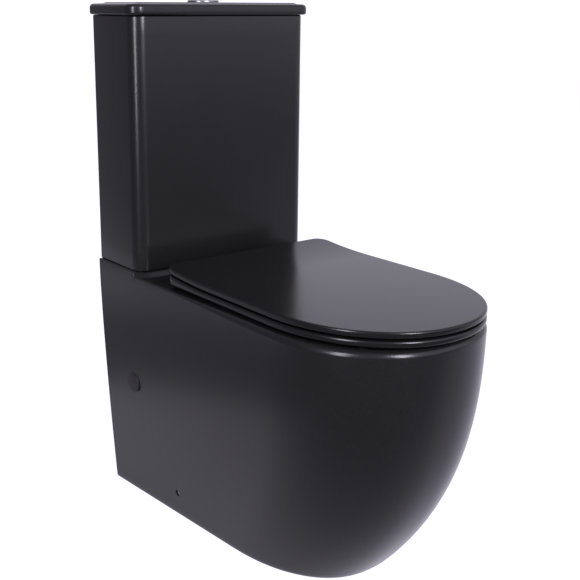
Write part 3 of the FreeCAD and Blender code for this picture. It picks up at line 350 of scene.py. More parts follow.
def whole_ring(side, height):
    """A closed ring from its right half, with the straight rear edge divided as well."""
    right = [at(x, distance, height(x, distance)) for x, distance in side]
    left = [at(-x, distance, height(x, distance)) for x, distance in reversed(side[:-1])]
    half, distance = side[0]
    rear = [at(-half * share, distance, height(half * share, distance))
            for share in spread(1.0, -1.0, REAR_STEPS + 1)[1:-1]]
    return right + left + rear


def rung_cap(points, faces, ring, start, height, upward):
    """Closes a ring from whole_ring with crosswise rungs, so that the surface can curve."""
    count = (len(ring) - (REAR_STEPS - 1) + 1) // 2
    rear_row = [start + len(ring) - 1 - step for step in range(REAR_STEPS - 1)]
    rows = [[start] + rear_row + [start + 2 * count - 2]]
    for index in range(1, count - 1):
        x, y, z = ring[index]
        row = [start + index]
        for share in spread(1.0, -1.0, REAR_STEPS + 1)[1:-1]:
            row.append(len(points))
            points.append((x * share, y, height(x * share, WALL - y)))
        row.append(start + 2 * count - 2 - index)
        rows.append(row)
    for row, following in zip(rows, rows[1:]):
        for column in range(REAR_STEPS):
            face = (row[column], following[column], following[column + 1], row[column + 1])
            faces.append(face if upward else face[::-1])
    tip = start + count - 1
    for column in range(REAR_STEPS):
        face = (rows[-1][column], tip, rows[-1][column + 1])
        faces.append(face if upward else face[::-1])


def loft(name, rings, low_cap=None, high_cap=None):
    """A skin over rings of equal length. Each cap is a height for rungs, or None for a flat face."""
    points = [point for ring in rings for point in ring]
    count = len(rings[0])
    faces = []
    for level in range(len(rings) - 1):
        for index in range(count):
            following = (index + 1) % count
            low, high = level * count, (level + 1) * count
            faces.append((low + index, high + index, high + following, low + following))
    last = (len(rings) - 1) * count
    if low_cap:
        rung_cap(points, faces, rings[0], 0, low_cap, False)
    else:
        faces.append(tuple(range(count)))
    if high_cap:
        rung_cap(points, faces, rings[-1], last, high_cap, True)
    else:
        faces.append(tuple(range(last + count - 1, last - 1, -1)))
    piece = new_piece(name, points, faces)
    outward(piece)
    return piece


def outward(piece):
    """Turns every face outwards."""
    cloth = bmesh.new()
    cloth.from_mesh(piece.data)
    bmesh.ops.remove_doubles(cloth, verts=cloth.verts, dist=1e-7)
    bmesh.ops.recalc_face_normals(cloth, faces=cloth.faces)
    cloth.to_mesh(piece.data)
    cloth.free()


def combine(piece, tools, operation):
    """Adds or cuts away closed pieces, which are used up."""
    for tool in tools:
        step = piece.modifiers.new("step", "BOOLEAN")
        step.operation = operation
        step.solver = "MANIFOLD"
        step.object = tool
        mesh = bpy.data.meshes.new_from_object(piece.evaluated_get(bpy.context.evaluated_depsgraph_get()))
        piece.modifiers.clear()
        old = piece.data
        piece.data = mesh
        mesh.name = piece.name
        bpy.data.meshes.remove(old)
        bpy.data.objects.remove(tool)


def polish(piece, material, sharp=32.0):
    """Smooth faces with kept edges, and the piece's material."""
    piece.data.polygons.foreach_set("use_smooth", [True] * len(piece.data.polygons))
    piece.data.set_sharp_from_angle(angle=math.radians(sharp))
    piece.data.materials.clear()
    piece.data.materials.append(material)


def superellipse(half, front, middle, rear, power, z, count=96):
    ring = []
    for index in range(count):
        turn = 2 * math.pi * index / count
        across = math.copysign(abs(math.sin(turn)) ** (2 / power), math.sin(turn))
        along = math.copysign(abs(math.cos(turn)) ** (2 / power), math.cos(turn))
        reach = (front - middle) if along > 0 else (middle - rear)
        ring.append(at(half * across, middle + reach * along, z))
    return ring


def bowl_ring(z, grow):
    """Section of the bowl's hollow at a height, or of the ceramic around it."""
    share = min(1.0, max(0.0, (z - BOWL_FLOOR) / BOWL_DEPTH))
    opening = math.sqrt(1 - (1 - share) ** 2)
    front = 0.445 + 0.1735 * opening + grow
    rear = 0.345 - 0.073 * opening - grow
    half = 0.046 + 0.085 * opening + grow
    middle = 0.395 + 0.060 * opening
    return superellipse(half, front, middle, rear, 2.2, z)


def circle(radius, count):
    """Points around a circle, as pairs."""
    turns = [2 * math.pi * step / count for step in range(count)]
    return [(radius * math.cos(turn), radius * math.sin(turn)) for turn in turns]


def disc_ring(radius, x, distance, z, count=64):
    """A level circle."""
    return [at(x + over, distance + along, z) for over, along in circle(radius, count)]


def drum(name, radius, x, distance, low, high):
    """An upright cylinder, used as a cutter."""
    return loft(name, [disc_ring(radius, x, distance, low), disc_ring(radius, x, distance, high)])


def turned(name, profile, x, distance, count=96):
    """A lathed ring or tube: its closed profile of (radius, height) pairs goes once around."""
    points, faces = [], []
    for radius, z in profile:
        points += disc_ring(radius, x, distance, z, count)
    for level in range(len(profile)):
        following = (level + 1) % len(profile)
        for index in range(count):
            beside = (index + 1) % count
            faces.append((level * count + index, level * count + beside,
                          following * count + beside, following * count + index))
    piece = new_piece(name, points, faces)
    outward(piece)
    return piece


def brick(name, x_low, x_high, front, rear, z_low, z_high):
    """A box, its depth given as two distances from the wall."""
    rings = []
    for z in (z_low, z_high):
        rings.append([at(x_low, front, z), at(x_high, front, z), at(x_high, rear, z), at(x_low, rear, z)])
    return loft(name, rings)


def pipe(name, path, radius, count=48):
    """A round bar along points in the middle plane."""
    rings = []
    for index, (distance, z) in enumerate(path):
        before = path[max(0, index - 1)]
        after = path[min(len(path) - 1, index + 1)]
        run = Vector((after[0] - before[0], after[1] - before[1])).normalized()
        across = Vector((-run[1], run[0]))
        ring = []
        for outwards, sideways in circle(radius, count):
            shift = across * outwards
            ring.append(at(sideways, distance + shift[0], z + shift[1]))
        rings.append(ring)
    return loft(name, rings)


def side_ring(radius, x, distance, z, count):
    """A circle that faces the pan's side."""
    return [at(x, distance + along, z + up) for along, up in circle(radius, count)]


def crossbar(name, radius, x_low, x_high, distance, z):
    """A round bar across the pan."""
    return loft(name, [side_ring(radius, x, distance, z, 64) for x in (x_low, x_high)])


def outlet_ring(radius, distance):
    """A circle around the outlet, which points at the wall."""
    return [at(over, distance, OUTLET_Z + up) for over, up in circle(radius, 64)]


def eased(corners, steps=14):
    """A path through corners, rounded like a poured curve."""
    path = []
    for index in range(len(corners) - 1):
        p0 = Vector(corners[max(0, index - 1)])
        p1, p2 = Vector(corners[index]), Vector(corners[index + 1])
        p3 = Vector(corners[min(len(corners) - 1, index + 2)])
        for share in spread(0.0, 1.0, steps + 1)[:-1]:
            a = p1 * 2 + (p2 - p0) * share
            b = (p0 * 2 - p1 * 5 + p2 * 4 - p3) * share ** 2
            c = (p1 * 3 - p0 - p2 * 3 + p3) * share ** 3
            path.append(tuple((a + b + c) / 2))
    path.append(corners[-1])
    return path


glaze = Finish("satin_black_glaze", (0.003, 0.003, 0.003), 0.25, specular_ior_level=0.14)
glaze.set("Base Color", glaze.tint(soft_noise(glaze, 260.0, -0.4, 1.4, detail=5.0),
                                   (0.0022, 0.0022, 0.0022), (0.0034, 0.0034, 0.0034)))
glaze.set("Roughness", soft_noise(glaze, 14.0, 0.22, 0.27, detail=4.0))
glaze.bump(glaze.noise(90.0, 2.0), 0.00006, 0.5)

FOOT_ROUND = 0.004
REAR_ROUND = 0.0025
NOSE_ROUND = 0.0105


def edge_ring(turn):
    """A ring of the rounded top edge, whose radius grows from the cistern to the nose."""
    def blend(rear_value, nose_value, distance):
        share = smooth((distance - 0.20) / 0.27)
        return rear_value * (1 - share) + nose_value * share

    insets = [radius * (1 - math.cos(turn)) for radius in (REAR_ROUND, NOSE_ROUND)]
    sinks = [radius * (1 - math.sin(turn)) for radius in (REAR_ROUND, NOSE_ROUND)]
    outlines = [pan_outline(RIM - sink, inset, inset) for inset, sink in zip(insets, sinks)]
    side = []
    for fine, broad in zip(*outlines):
        side.append((blend(fine[0], broad[0], fine[1]), blend(fine[1], broad[1], fine[1])))
    return whole_ring(side, lambda x, distance: shelf_height(x, distance) - blend(*sinks, distance))


rings = []
for turn in spread(0.0, math.pi / 2, 5)[:-1]:
    z = FOOT_ROUND * (1 - math.cos(turn))
    inset = FOOT_ROUND * (1 - math.sin(turn))
    rings.append(whole_ring(pan_outline(z, inset, inset), lambda x, distance, z=z: z))
for z in spread(FOOT_ROUND, RIM - NOSE_ROUND - 0.004, 40):
    rings.append(whole_ring(pan_outline(z, 0.0, 0.0), lambda x, distance, z=z: z))
rings += [edge_ring(turn) for turn in spread(0.0, math.pi / 2, 11)]
pan = loft("pan", rings, lambda x, distance: 0.0, shelf_height)

hollow_rings = []
for z in [-0.005] + spread(0.0, 0.390, 20) + [0.394, 0.397, 0.398]:
    inset = 0.011 + max(0.0, z - 0.390) ** 2 / 0.010
    hollow_rings.append(whole_ring(pan_outline(max(z, 0.0), inset, -0.010), lambda x, distance, z=z: z))
combine(pan, [loft("hollow", hollow_rings)], "DIFFERENCE")

trap_way = eased([(0.372, 0.151), (0.290, 0.235), (0.220, 0.235), (0.130, 0.185)])
spigot = loft("spigot", [outlet_ring(radius, distance) for radius, distance in (
    (0.051, 0.135), (0.051, 0.036), (0.0525, 0.034), (0.0525, 0.029), (0.051, 0.0265), (0.049, 0.025))])
combine(pan, [
    loft("bowl_outside", [bowl_ring(z, 0.011) for z in spread(0.111, 0.406, 30)]),
    pipe("trap_outside", trap_way, 0.036),
    spigot,
    brick("duct", -0.066, 0.066, 0.302, 0.012, 0.324, 0.400),
], "UNION")

# The mouth's edge flares out over the last millimetres, short of meeting the deck level.
MOUTH_ROUND = 0.009
SUMP_ROUND = 0.012
SUMP_TOP = 0.134
bowl_rings = []
for turn in spread(0.0, math.pi / 2, 6)[:-1]:
    lift, shrink = SUMP_ROUND * (1 - math.cos(turn)), -SUMP_ROUND * (1 - math.sin(turn))
    bowl_rings.append(bowl_ring(BOWL_FLOOR + lift, shrink))
bowl_rings += [bowl_ring(z, 0.0) for z in spread(SUMP_TOP, RIM - MOUTH_ROUND, 40)]
for turn in spread(0.0, math.radians(80.0), 9)[1:]:
    flare = MOUTH_ROUND * (1 - math.cos(turn))
    bowl_rings.append(bowl_ring(RIM - MOUTH_ROUND + MOUTH_ROUND * math.sin(turn), flare))
bowl_rings.append(bowl_ring(RIM + 0.002, MOUTH_ROUND))
spigot_bore = loft("spigot_bore", [outlet_ring(0.042, distance) for distance in (0.126, 0.020)])
cutters = [
    loft("bowl_inside", bowl_rings),
    pipe("trap_inside", trap_way, 0.027),
    spigot_bore,
    brick("water_way", -0.054, 0.054, 0.257, 0.024, 0.336, 0.376),
    brick("slot", -0.034, 0.034, 0.302, 0.251, 0.348, 0.376),
    drum("well", 0.057, 0.0, PIPE_LINE, 0.396, 0.430),
    drum("inlet", 0.036, 0.0, PIPE_LINE, 0.364, 0.400),
    drum("supply_hole", 0.024, SUPPLY_X, PIPE_LINE, 0.390, 0.430),
]
for side in (-1, 1):
    cutters.append(drum("bolt_hole", 0.006, side * BOLT_X, PIPE_LINE, 0.390, 0.430))
    cutters.append(drum("seat_hole", 0.0075, side * STUD_X, HINGE_LINE, 0.390, 0.430))
    inside, seat, outside = side * 0.100, side * 0.1435, side * 0.190
    cutters.append(crossbar("cap_hole", 0.0145, inside, outside, CAP_LINE, CAP_Z))
    cutters.append(crossbar("screw_hole", 0.003, inside, outside, SCREW_LINE, SCREW_Z))
    cutters.append(crossbar("screw_seat", 0.0055, seat, outside, SCREW_LINE, SCREW_Z))
combine(pan, cutters, "DIFFERENCE")
polish(pan, glaze.material)
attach(pan, "root")
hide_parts("pan_skirt", "pan_deck", "pan_bowl_upper", "pan_bowl_lower", "pan_duct", "pan_trap")


# ---- Access caps ----
# Soft black plastic caps pressed into the holes at the pan's sides, behind which the fixings
# are reached. A thin lip stands against the glaze, the face is slightly domed.

soft_black = Finish("soft_black_plastic", (0.0045, 0.0044, 0.0048), 0.5, specular_ior_level=0.12)
soft_black.set("Roughness", soft_noise(soft_black, 60.0, 0.46, 0.56, detail=4.0))
soft_black.bump(soft_black.noise(1400.0, 2.0), 0.00002, 0.4)


def pan_side(distance, z):
    """Half width of the pan at a distance from the wall."""
    fall = 1 - z / RIM
    taper = FOOT_TAPER - TAPER_GAIN * (1 - fall ** NOSE_BEND)
    return PAN_HALF - SIDE_TUCK * fall ** SIDE_BEND - taper * distance


def side_turned(name, profile, side, distance, z):
    """A lathed solid whose axis points out of the pan's side; profile of (radius, x) pairs."""
    return loft(name, [side_ring(radius, side * x, distance, z, 72) for radius, x in profile])


for side, label in ((-1, "left"), (1, "right")):
    face = pan_side(CAP_LINE, CAP_Z)
    cap = side_turned("access_cap_" + label, [
        (0.0125, face - 0.0140), (0.0140, face - 0.0132), (0.0142, face - 0.0105), (0.0138, face - 0.0095),
        (0.0141, face - 0.0085), (0.0142, face - 0.0055), (0.0138, face - 0.0045), (0.0141, face - 0.0035),
        (0.0142, face - 0.0004), (0.0172, face - 0.0003), (0.0175, face + 0.0002), (0.0175, face + 0.0008),
        (0.0171, face + 0.0014), (0.0162, face + 0.0017), (0.0155, face + 0.0013), (0.0150, face + 0.0013),
        (0.0144, face + 0.0018), (0.0120, face + 0.00195), (0.0080, face + 0.0021), (0.0030, face + 0.0021),
    ], side, CAP_LINE, CAP_Z)
    polish(cap, soft_black.material)
    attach(cap, "root")
    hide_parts("access_cap_" + label)


# ---- Cistern ----
# An open box, cast in the same stoneware and glazed like the pan, with a low ring around its
# foot and four shallow seats in its rim for the lid's pads. Two bolts and both valves' tails go
# through its floor.

def rounded_ring(half, front, rear, big, small, z, steps=12):
    """A rounded rectangle at one height, with larger front corners than rear ones."""
    ring = []
    for corner_x, corner_d, radius, first in ((half - small, rear + small, small, -90),
                                              (half - big, front - big, big, 0),
                                              (-half + big, front - big, big, 90),
                                              (-half + small, rear + small, small, 180)):
        for step in range(steps + 1):
            turn = math.radians(first + 90 * step / steps)
            ring.append(at(corner_x + radius * math.cos(turn), corner_d + radius * math.sin(turn), z))
    return ring


FOOT = 0.4245
TOP = 0.8317
THICK = 0.0085
EDGE_ROUND = 0.0025
CISTERN_RISE = 0.406
FOOT_HALF = 0.174
FOOT_FRONT = 0.131
TOP_NARROWER = 0.0015
TOP_DEEPER = 0.002
PAD_X = 0.16825
PAD_REAR = 0.02425
PAD_FRONT = 0.097


def cistern_ring(inset, z):
    """The cistern's outline, a little narrower and deeper towards the top."""
    share = (z - FOOT) / CISTERN_RISE
    half = FOOT_HALF - TOP_NARROWER * share - inset
    front = FOOT_FRONT + TOP_DEEPER * share - inset
    return rounded_ring(half, front, inset, max(0.024 - inset, 0.006), max(0.0035 - inset, 0.002), z)


def corner_profile(radius, inset, z, going_in, going_up, steps=6):
    """Quarter round in a section: (inset, height) pairs from the wall to the level face."""
    pairs = []
    for step in range(steps + 1):
        turn = math.pi / 2 * step / steps
        inwards = going_in * radius * (1 - math.cos(turn))
        pairs.append((inset + inwards, z + going_up * radius * math.sin(turn)))
    return pairs


profile = [(0.0125, FOOT), (0.0097, FOOT), (0.0088, FOOT - 0.0015), (0.0030, FOOT - 0.0017)]
profile += corner_profile(EDGE_ROUND, 0.0, FOOT + 0.0008, 1, -1)[::-1]
profile += [(0.0, z) for z in spread(FOOT + 0.03, TOP - 0.03, 9)]
profile += corner_profile(EDGE_ROUND, 0.0, TOP - EDGE_ROUND, 1, 1)
profile += corner_profile(EDGE_ROUND, THICK, TOP - EDGE_ROUND, -1, 1)[::-1]
profile += corner_profile(0.006, THICK, 0.4425, 1, -1) + [(0.018, 0.4365)]
cistern = loft("cistern", [cistern_ring(inset, z) for inset, z in profile])
cutters = [
    drum("tail_hole", 0.0318, 0.0, PIPE_LINE, 0.42, 0.44),
    drum("fill_hole", 0.0119, SUPPLY_X, PIPE_LINE, 0.42, 0.44),
]
for side in (-1, 1):
    cutters.append(drum("bolt_hole", 0.0055, side * BOLT_X, PIPE_LINE, 0.42, 0.44))
    for distance in (PAD_REAR, PAD_FRONT):
        cutters.append(drum("pad_seat", 0.0036, side * PAD_X, distance, 0.8307, 0.84))
combine(cistern, cutters, "DIFFERENCE")
polish(cistern, glaze.material)
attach(cistern, "root")
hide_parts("cistern")


# ---- Cistern lid ----
# A loose slab of the same glazed stoneware, with softly rounded edges and a raised panel on
# top. It rests on four pads, and a low lip underneath keeps it in place on the cistern. The
# flush buttons' housing is clamped in its one hole.

COVER_HALF = 0.179
COVER_FRONT = 0.1395


def cover_ring(inset, z):
    """The lid's outline, with its corners' radii kept above a least one."""
    front_corner = max(0.024 - inset, 0.006)
    rear_corner = max(0.006 - inset, 0.003)
    return rounded_ring(COVER_HALF - inset, COVER_FRONT - inset, inset, front_corner, rear_corner, z)


profile = [(0.0265, 0.840)] + corner_profile(0.002, 0.0205, 0.838, 1, 1)[::-1]
profile += [(0.0205, 0.8275), (0.0197, 0.8262), (0.0173, 0.8262)]
profile += [(0.0165, 0.8275), (0.0165, 0.8315), (0.0155, 0.832)]
profile += corner_profile(0.0040, 0.0, 0.8360, 1, -1)[::-1] + [(0.0, 0.8390)]
profile += corner_profile(0.0068, 0.0, 0.8426, 1, 1, 9) + [(0.0100, 0.84955), (0.0150, 0.8498)]
profile += [(0.0170, 0.8502), (0.0185, 0.8509), (0.0200, 0.8516), (0.0220, 0.8519), (0.0250, 0.8520)]
cover = loft("cistern_lid", [cover_ring(inset, z) for inset, z in profile])
combine(cover, [drum("button_hole", 0.0243, 0.0, PIPE_LINE, 0.83, 0.86)], "DIFFERENCE")
polish(cover, glaze.material)
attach(cover, "cistern_cover")
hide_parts("cistern_lid")


# ---- Flush buttons ----
# Dark plated plastic: a housing with a rounded bezel and a threaded sleeve through the lid, and
# two keys, the narrower one for the half flush. The plating is brushed around the axis.

gunmetal = Finish("gunmetal_plating", (0.085, 0.085, 0.090), 0.30, metallic=1.0)
around = gunmetal.node("ShaderNodeSeparateXYZ", None, {
    0: gunmetal.node("ShaderNodeTexCoord").outputs["Object"]})
across = Wire(gunmetal, around.outputs[0])
behind = Wire(gunmetal, around.outputs[1]) - 0.2635
spin = gunmetal.node("ShaderNodeMath", {"operation": "SQRT"}, {0: across * across + behind * behind})
rings_of_brushing = gunmetal.node("ShaderNodeTexNoise", {"noise_dimensions": "1D"}, {
    "W": Wire(gunmetal, spin.outputs[0]), "Scale": 9000.0, "Detail": 2.0})
gunmetal.set("Roughness", 0.24 + Wire(gunmetal, rings_of_brushing.outputs["Fac"]) * 0.16)
gunmetal.bump(rings_of_brushing.outputs["Fac"], 0.00001, 0.5)


def thread_tree():
    """A round-crested thread: a helix swept with a small circle."""
    tree = bpy.data.node_groups.new("thread", "GeometryNodeTree")
    face = tree.interface
    for name, kind, value in (("Radius", "NodeSocketFloat", 0.01), ("Height", "NodeSocketFloat", 0.02),
                              ("Turns", "NodeSocketFloat", 8.0), ("Crest", "NodeSocketFloat", 0.0005)):
        face.new_socket(name, in_out="INPUT", socket_type=kind).default_value = value
    face.new_socket("Material", in_out="INPUT", socket_type="NodeSocketMaterial")
    face.new_socket("Geometry", in_out="OUTPUT", socket_type="NodeSocketGeometry")
    given = tree.nodes.new("NodeGroupInput")
    helix = tree.nodes.new("GeometryNodeCurveSpiral")
    crest = tree.nodes.new("GeometryNodeCurvePrimitiveCircle")
    sweep = tree.nodes.new("GeometryNodeCurveToMesh")
    paint = tree.nodes.new("GeometryNodeSetMaterial")
    real = tree.nodes.new("GeometryNodeRealizeInstances")
    result = tree.nodes.new("NodeGroupOutput")
    helix.inputs["Resolution"].default_value = 48
    crest.inputs["Resolution"].default_value = 8
    sweep.inputs["Fill Caps"].default_value = True
    for start, end in ((given.outputs["Radius"], helix.inputs["Start Radius"]),
                       (given.outputs["Radius"], helix.inputs["End Radius"]),
                       (given.outputs["Height"], helix.inputs["Height"]),
                       (given.outputs["Turns"], helix.inputs["Rotations"]),
                       (given.outputs["Crest"], crest.inputs["Radius"]),
                       (helix.outputs["Curve"], sweep.inputs["Curve"]),
                       (crest.outputs["Curve"], sweep.inputs["Profile Curve"]),
                       (sweep.outputs["Mesh"], real.inputs["Geometry"]),
                       (real.outputs["Geometry"], paint.inputs["Geometry"]),
                       (given.outputs["Material"], paint.inputs["Material"]),
                       (paint.outputs["Geometry"], result.inputs["Geometry"])):
        tree.links.new(start, end)
    return tree


def grown(name, tree, values, start=None):
    """A plain mesh made by a node tree, whose inputs are given by name."""
    piece = start or new_piece(name, [(0, 0, 0)], [])
    grow = piece.modifiers.new("grow", "NODES")
    grow.node_group = tree
    for item in tree.interface.items_tree:
        if item.in_out == "INPUT" and item.name in values:
            grow[item.identifier] = values[item.name]
    mesh = bpy.data.meshes.new_from_object(piece.evaluated_get(bpy.context.evaluated_depsgraph_get()))
    piece.modifiers.clear()
    piece.data = mesh
    mesh.name = piece.name
    return piece


def thread(name, radius, x, distance, low, height, pitch, material):
    """A thread around an upright sleeve or bolt."""
    piece = grown(name, THREAD, {"Radius": radius, "Height": height, "Turns": height / pitch,
                                 "Crest": pitch * 0.32, "Material": material})
    piece.data.transform(Matrix.Translation(at(x, distance, low)))
    outward(piece)
    polish(piece, material, 60.0)
    return piece


def joined(pieces):
    """One object from several; the first keeps its name."""
    cloth = bmesh.new()
    for piece in pieces:
        cloth.from_mesh(piece.data)
    cloth.to_mesh(pieces[0].data)
    cloth.free()
    for piece in pieces[1:]:
        bpy.data.objects.remove(piece)
    return pieces[0]


def rod_place(side):
    """Where a key's rod stands: across, and from the wall."""
    return (side * 0.012, PIPE_LINE - side * 0.006)


THREAD = thread_tree()
WEB_TOP = 0.8185
housing = turned("button_housing", [
    (0.0240, 0.8431), (0.0240, 0.8521), (0.0262, 0.8521), (0.0264, 0.8524), (0.0264, 0.8539),
    (0.0262, 0.8547), (0.0258, 0.8552), (0.0252, 0.8555), (0.0245, 0.8555), (0.0238, 0.8553),
    (0.0233, 0.8549), (0.0230, 0.8543), (0.0230, 0.8452), (0.0200, 0.8452), (0.0200, WEB_TOP),
    (0.0200, 0.8160), (0.0219, 0.8160), (0.0224, 0.8168), (0.0224, 0.8431),
], 0.0, PIPE_LINE)
web = drum("web", 0.0204, 0.0, PIPE_LINE, 0.8160, WEB_TOP)
combine(web, [drum("rod_hole", 0.003, *rod_place(side), 0.81, 0.82) for side in (-1, 1)], "DIFFERENCE")
combine(housing, [web], "UNION")
polish(housing, gunmetal.material)
sleeve_thread = thread("sleeve_thread", 0.0222, 0.0, PIPE_LINE, 0.8180, 0.0240, 0.0020, gunmetal.material)
housing = joined([housing, sleeve_thread])
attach(housing, "cistern_cover")
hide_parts("button_housing")


KEY_RADIUS = 0.0225


def key_ring(gap, inset, z, side, count=72):
    """Outline of a key: part of a circle, cut off by a straight gap."""
    radius = KEY_RADIUS - inset
    chord = gap + inset
    reach = math.acos(chord / radius)
    return [at(side * radius * math.cos(turn), PIPE_LINE + radius * math.sin(turn), z)
            for turn in spread(-reach, reach, count)]


for name, side, gap in (("full_flush_button", 1, -0.0037), ("half_flush_button", -1, 0.0043)):
    key = loft(name, [key_ring(gap, inset, z, side) for inset, z in (
        (0.0030, 0.8530), (0.0003, 0.8530), (0.0, 0.8533), (0.0, 0.8541), (0.0002, 0.8546), (0.0006, 0.8549),
        (0.0012, 0.8550), (0.0030, 0.85485), (0.0055, 0.8546), (0.0080, 0.8545))])
    skirt = turned("skirt", [
        (0.0180, 0.8452), (0.0195, 0.8452), (0.0195, 0.8535), (0.0180, 0.8535)], 0.0, PIPE_LINE)
    low_x, high_x = (gap, 0.03) if side > 0 else (-0.03, -gap)
    combine(skirt, [brick("half", low_x, high_x, 0.098, 0.038, 0.84, 0.86)], "INTERSECT")
    post = drum("post", 0.0040, *rod_place(side), 0.8450, 0.8535)
    combine(key, [skirt, post], "UNION")
    polish(key, gunmetal.material)
    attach(key, "full_key" if side > 0 else "half_key")
    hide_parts(name)


# ---- Seat ring ----
# Pressed thermoset plastic, satin black, thicker towards the hinges. Both edges are rounded by
# the mould and the underside is flat.

SEAT_REAR = 0.192
SEAT_HALF = 0.165
SEAT_FRONT = 0.663
SEAT_CORNER = 0.022
RISE_START = 0.314
RISE_RUN = 0.122
REAR_SWELL = 0.0075
ROUND_START = 0.459
ROUND_POWER = 2.107
RING_LOW = 0.4190
RING_HIGH = 0.4285
HINGE_Z = 0.428
PIN_BORE = 0.00306


def seat_rise(distance):
    """How much thicker the seat is towards the hinges."""
    return REAR_SWELL * (max(0.0, RISE_START - distance) / RISE_RUN) ** 2


def seat_side(inset):
    """Right half of the seat's outline, from the rear edge round to the front."""
    half, front, rear = SEAT_HALF - inset, SEAT_FRONT - inset, SEAT_REAR + inset
    corner = max(SEAT_CORNER - inset, 0.004)
    side = []
    for turn in spread(-math.pi / 2, 0.0, 10):
        side.append((half - corner + corner * math.cos(turn), rear + corner + corner * math.sin(turn)))
    side += [(half, distance) for distance in spread(rear + corner, RISE_START, 16)[1:]]
    side += [(half, distance) for distance in spread(RISE_START, ROUND_START, 8)[1:-1]]
    for turn in spread(0.0, math.pi / 2, 56):
        distance = ROUND_START + (front - ROUND_START) * math.sin(turn) ** (2 / ROUND_POWER)
        side.append((half * max(0.0, math.cos(turn)) ** (2 / ROUND_POWER), distance))
    side[-1] = (0.0, side[-1][1])
    return side


def seat_slab(name, low, high, low_round, high_round, low_rises, recess=None):
    """A slab of the seat's outline with rounded edges; recess is the depth of a hollow underneath."""
    def under(x, distance):
        return low + (seat_rise(distance) if low_rises else 0.0)

    def over(x, distance):
        return high + seat_rise(distance)

    layers = []
    if recess:
        layers += [(0.040, recess), (0.036, recess), (0.035, recess * 0.8)]
        layers += [(0.0345, recess * 0.2), (0.0335, 0.0)]
    layers += [(low_round + 0.002, 0.0)]
    layers += [(low_round * (1 - math.sin(turn)), low_round * (1 - math.cos(turn)))
               for turn in spread(0.0, math.pi / 2, 6)]
    rings = [whole_ring(seat_side(inset), lambda x, distance, lift=lift: under(x, distance) + lift)
             for inset, lift in layers]
    for turn in spread(0.0, math.pi / 2, 8):
        inset, sink = high_round * (1 - math.cos(turn)), high_round * (1 - math.sin(turn))
        rings.append(whole_ring(seat_side(inset), lambda x, distance, sink=sink: over(x, distance) - sink))
    rings.append(whole_ring(seat_side(high_round + 0.002), over))
    lift = recess or 0.0
    return loft(name, rings, lambda x, distance: under(x, distance) + lift, over)


def mouth_ring(z, grow, rising):
    """A ring of the seat's opening, which follows the seat's rise where asked."""
    ring = superellipse(0.108 + grow, 0.611 + grow, 0.455, 0.268 - grow, 2.2, z)
    return [(x, y, height + rising * seat_rise(WALL - y)) for x, y, height in ring]


thermoset = Finish("satin_black_thermoset", (0.002, 0.002, 0.002), 0.22, specular_ior_level=0.14)
thermoset.set("Base Color", thermoset.tint(soft_noise(thermoset, 420.0, -0.3, 1.3, detail=5.0),
                                           (0.0014, 0.0014, 0.0014), (0.0024, 0.0024, 0.0024)))
thermoset.set("Roughness", soft_noise(thermoset, 10.0, 0.20, 0.24, detail=3.0))
thermoset.bump(thermoset.noise(220.0, 2.0), 0.00003, 0.4)

ring = seat_slab("seat_ring", RING_LOW, RING_HIGH, 0.003, 0.0035, False)
MOUTH_EDGE = 0.0035
cutter_rings = [mouth_ring(0.4180, MOUTH_EDGE, 0)]
for turn in spread(math.radians(80.0), 0.0, 7):
    lift, flare = MOUTH_EDGE * (1 - math.sin(turn)), MOUTH_EDGE * (1 - math.cos(turn))
    cutter_rings.append(mouth_ring(RING_LOW + lift, flare, 0))
for turn in spread(0.0, math.radians(80.0), 7):
    sink, flare = MOUTH_EDGE * (1 - math.sin(turn)), MOUTH_EDGE * (1 - math.cos(turn))
    cutter_rings.append(mouth_ring(RING_HIGH - sink, flare, 1))
cutter_rings.append(mouth_ring(0.4295, MOUTH_EDGE, 1))
cutters = [loft("mouth", cutter_rings)]
for side in (-1, 1):
    ends = sorted((side * 0.064, side * 0.095))
    cutters.append(brick("pocket", *ends, 0.2095, 0.187, 0.410, 0.460))
    cutters.append(crossbar("bore", PIN_BORE, side * 0.056, side * 0.1045, HINGE_LINE, HINGE_Z))
combine(ring, cutters, "DIFFERENCE")
polish(ring, thermoset.material)
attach(ring, "ring")
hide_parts("seat_ring")


# ---- Seat lid ----
# The same plastic and the same outline. It is hollowed a little underneath and carries a lug
# beside each hinge post.

LID_LOW = 0.4315
LID_HIGH = 0.4410
LUG_ROUND = 0.006
lid = seat_slab("seat_lid", LID_LOW, LID_HIGH, 0.0030, 0.0027, True, recess=0.002)
for side in (-1, 1):
    outline = [(LUG_ROUND * math.cos(turn), LUG_ROUND * math.sin(turn)) for turn in spread(-math.pi, 0.0, 25)]
    outline = [(HINGE_LINE + run, HINGE_Z + rise) for run, rise in outline]
    outline += [(0.2075, LID_HIGH), (0.1955, LID_HIGH)]
    lug = loft("lug", [[at(side * x, distance, z) for distance, z in outline] for x in (0.089, 0.094)])
    combine(lid, [lug], "UNION")
    bore = crossbar("bore", PIN_BORE, side * 0.080, side * 0.100, HINGE_LINE, HINGE_Z)
    combine(lid, [bore], "DIFFERENCE")
polish(lid, thermoset.material)
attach(lid, "lid")
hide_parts("seat_lid")


# ---- Soft feet ----
# Moulded rubber feet under the seat ring and the seat lid, and pads under the cistern lid. Each
# is a turned shape, set down at every place by one node tree.

rubber = Finish("moulded_rubber", (0.022, 0.022, 0.023), 0.7)
rubber.set("Base Color", rubber.tint(rubber.noise(300.0, 4.0),
                                     (0.018, 0.018, 0.019), (0.028, 0.028, 0.029)))
rubber.set("Roughness", soft_noise(rubber, 900.0, 0.62, 0.80))
rubber.bump(rubber.noise(2500.0, 2.0), 0.00002, 0.6)


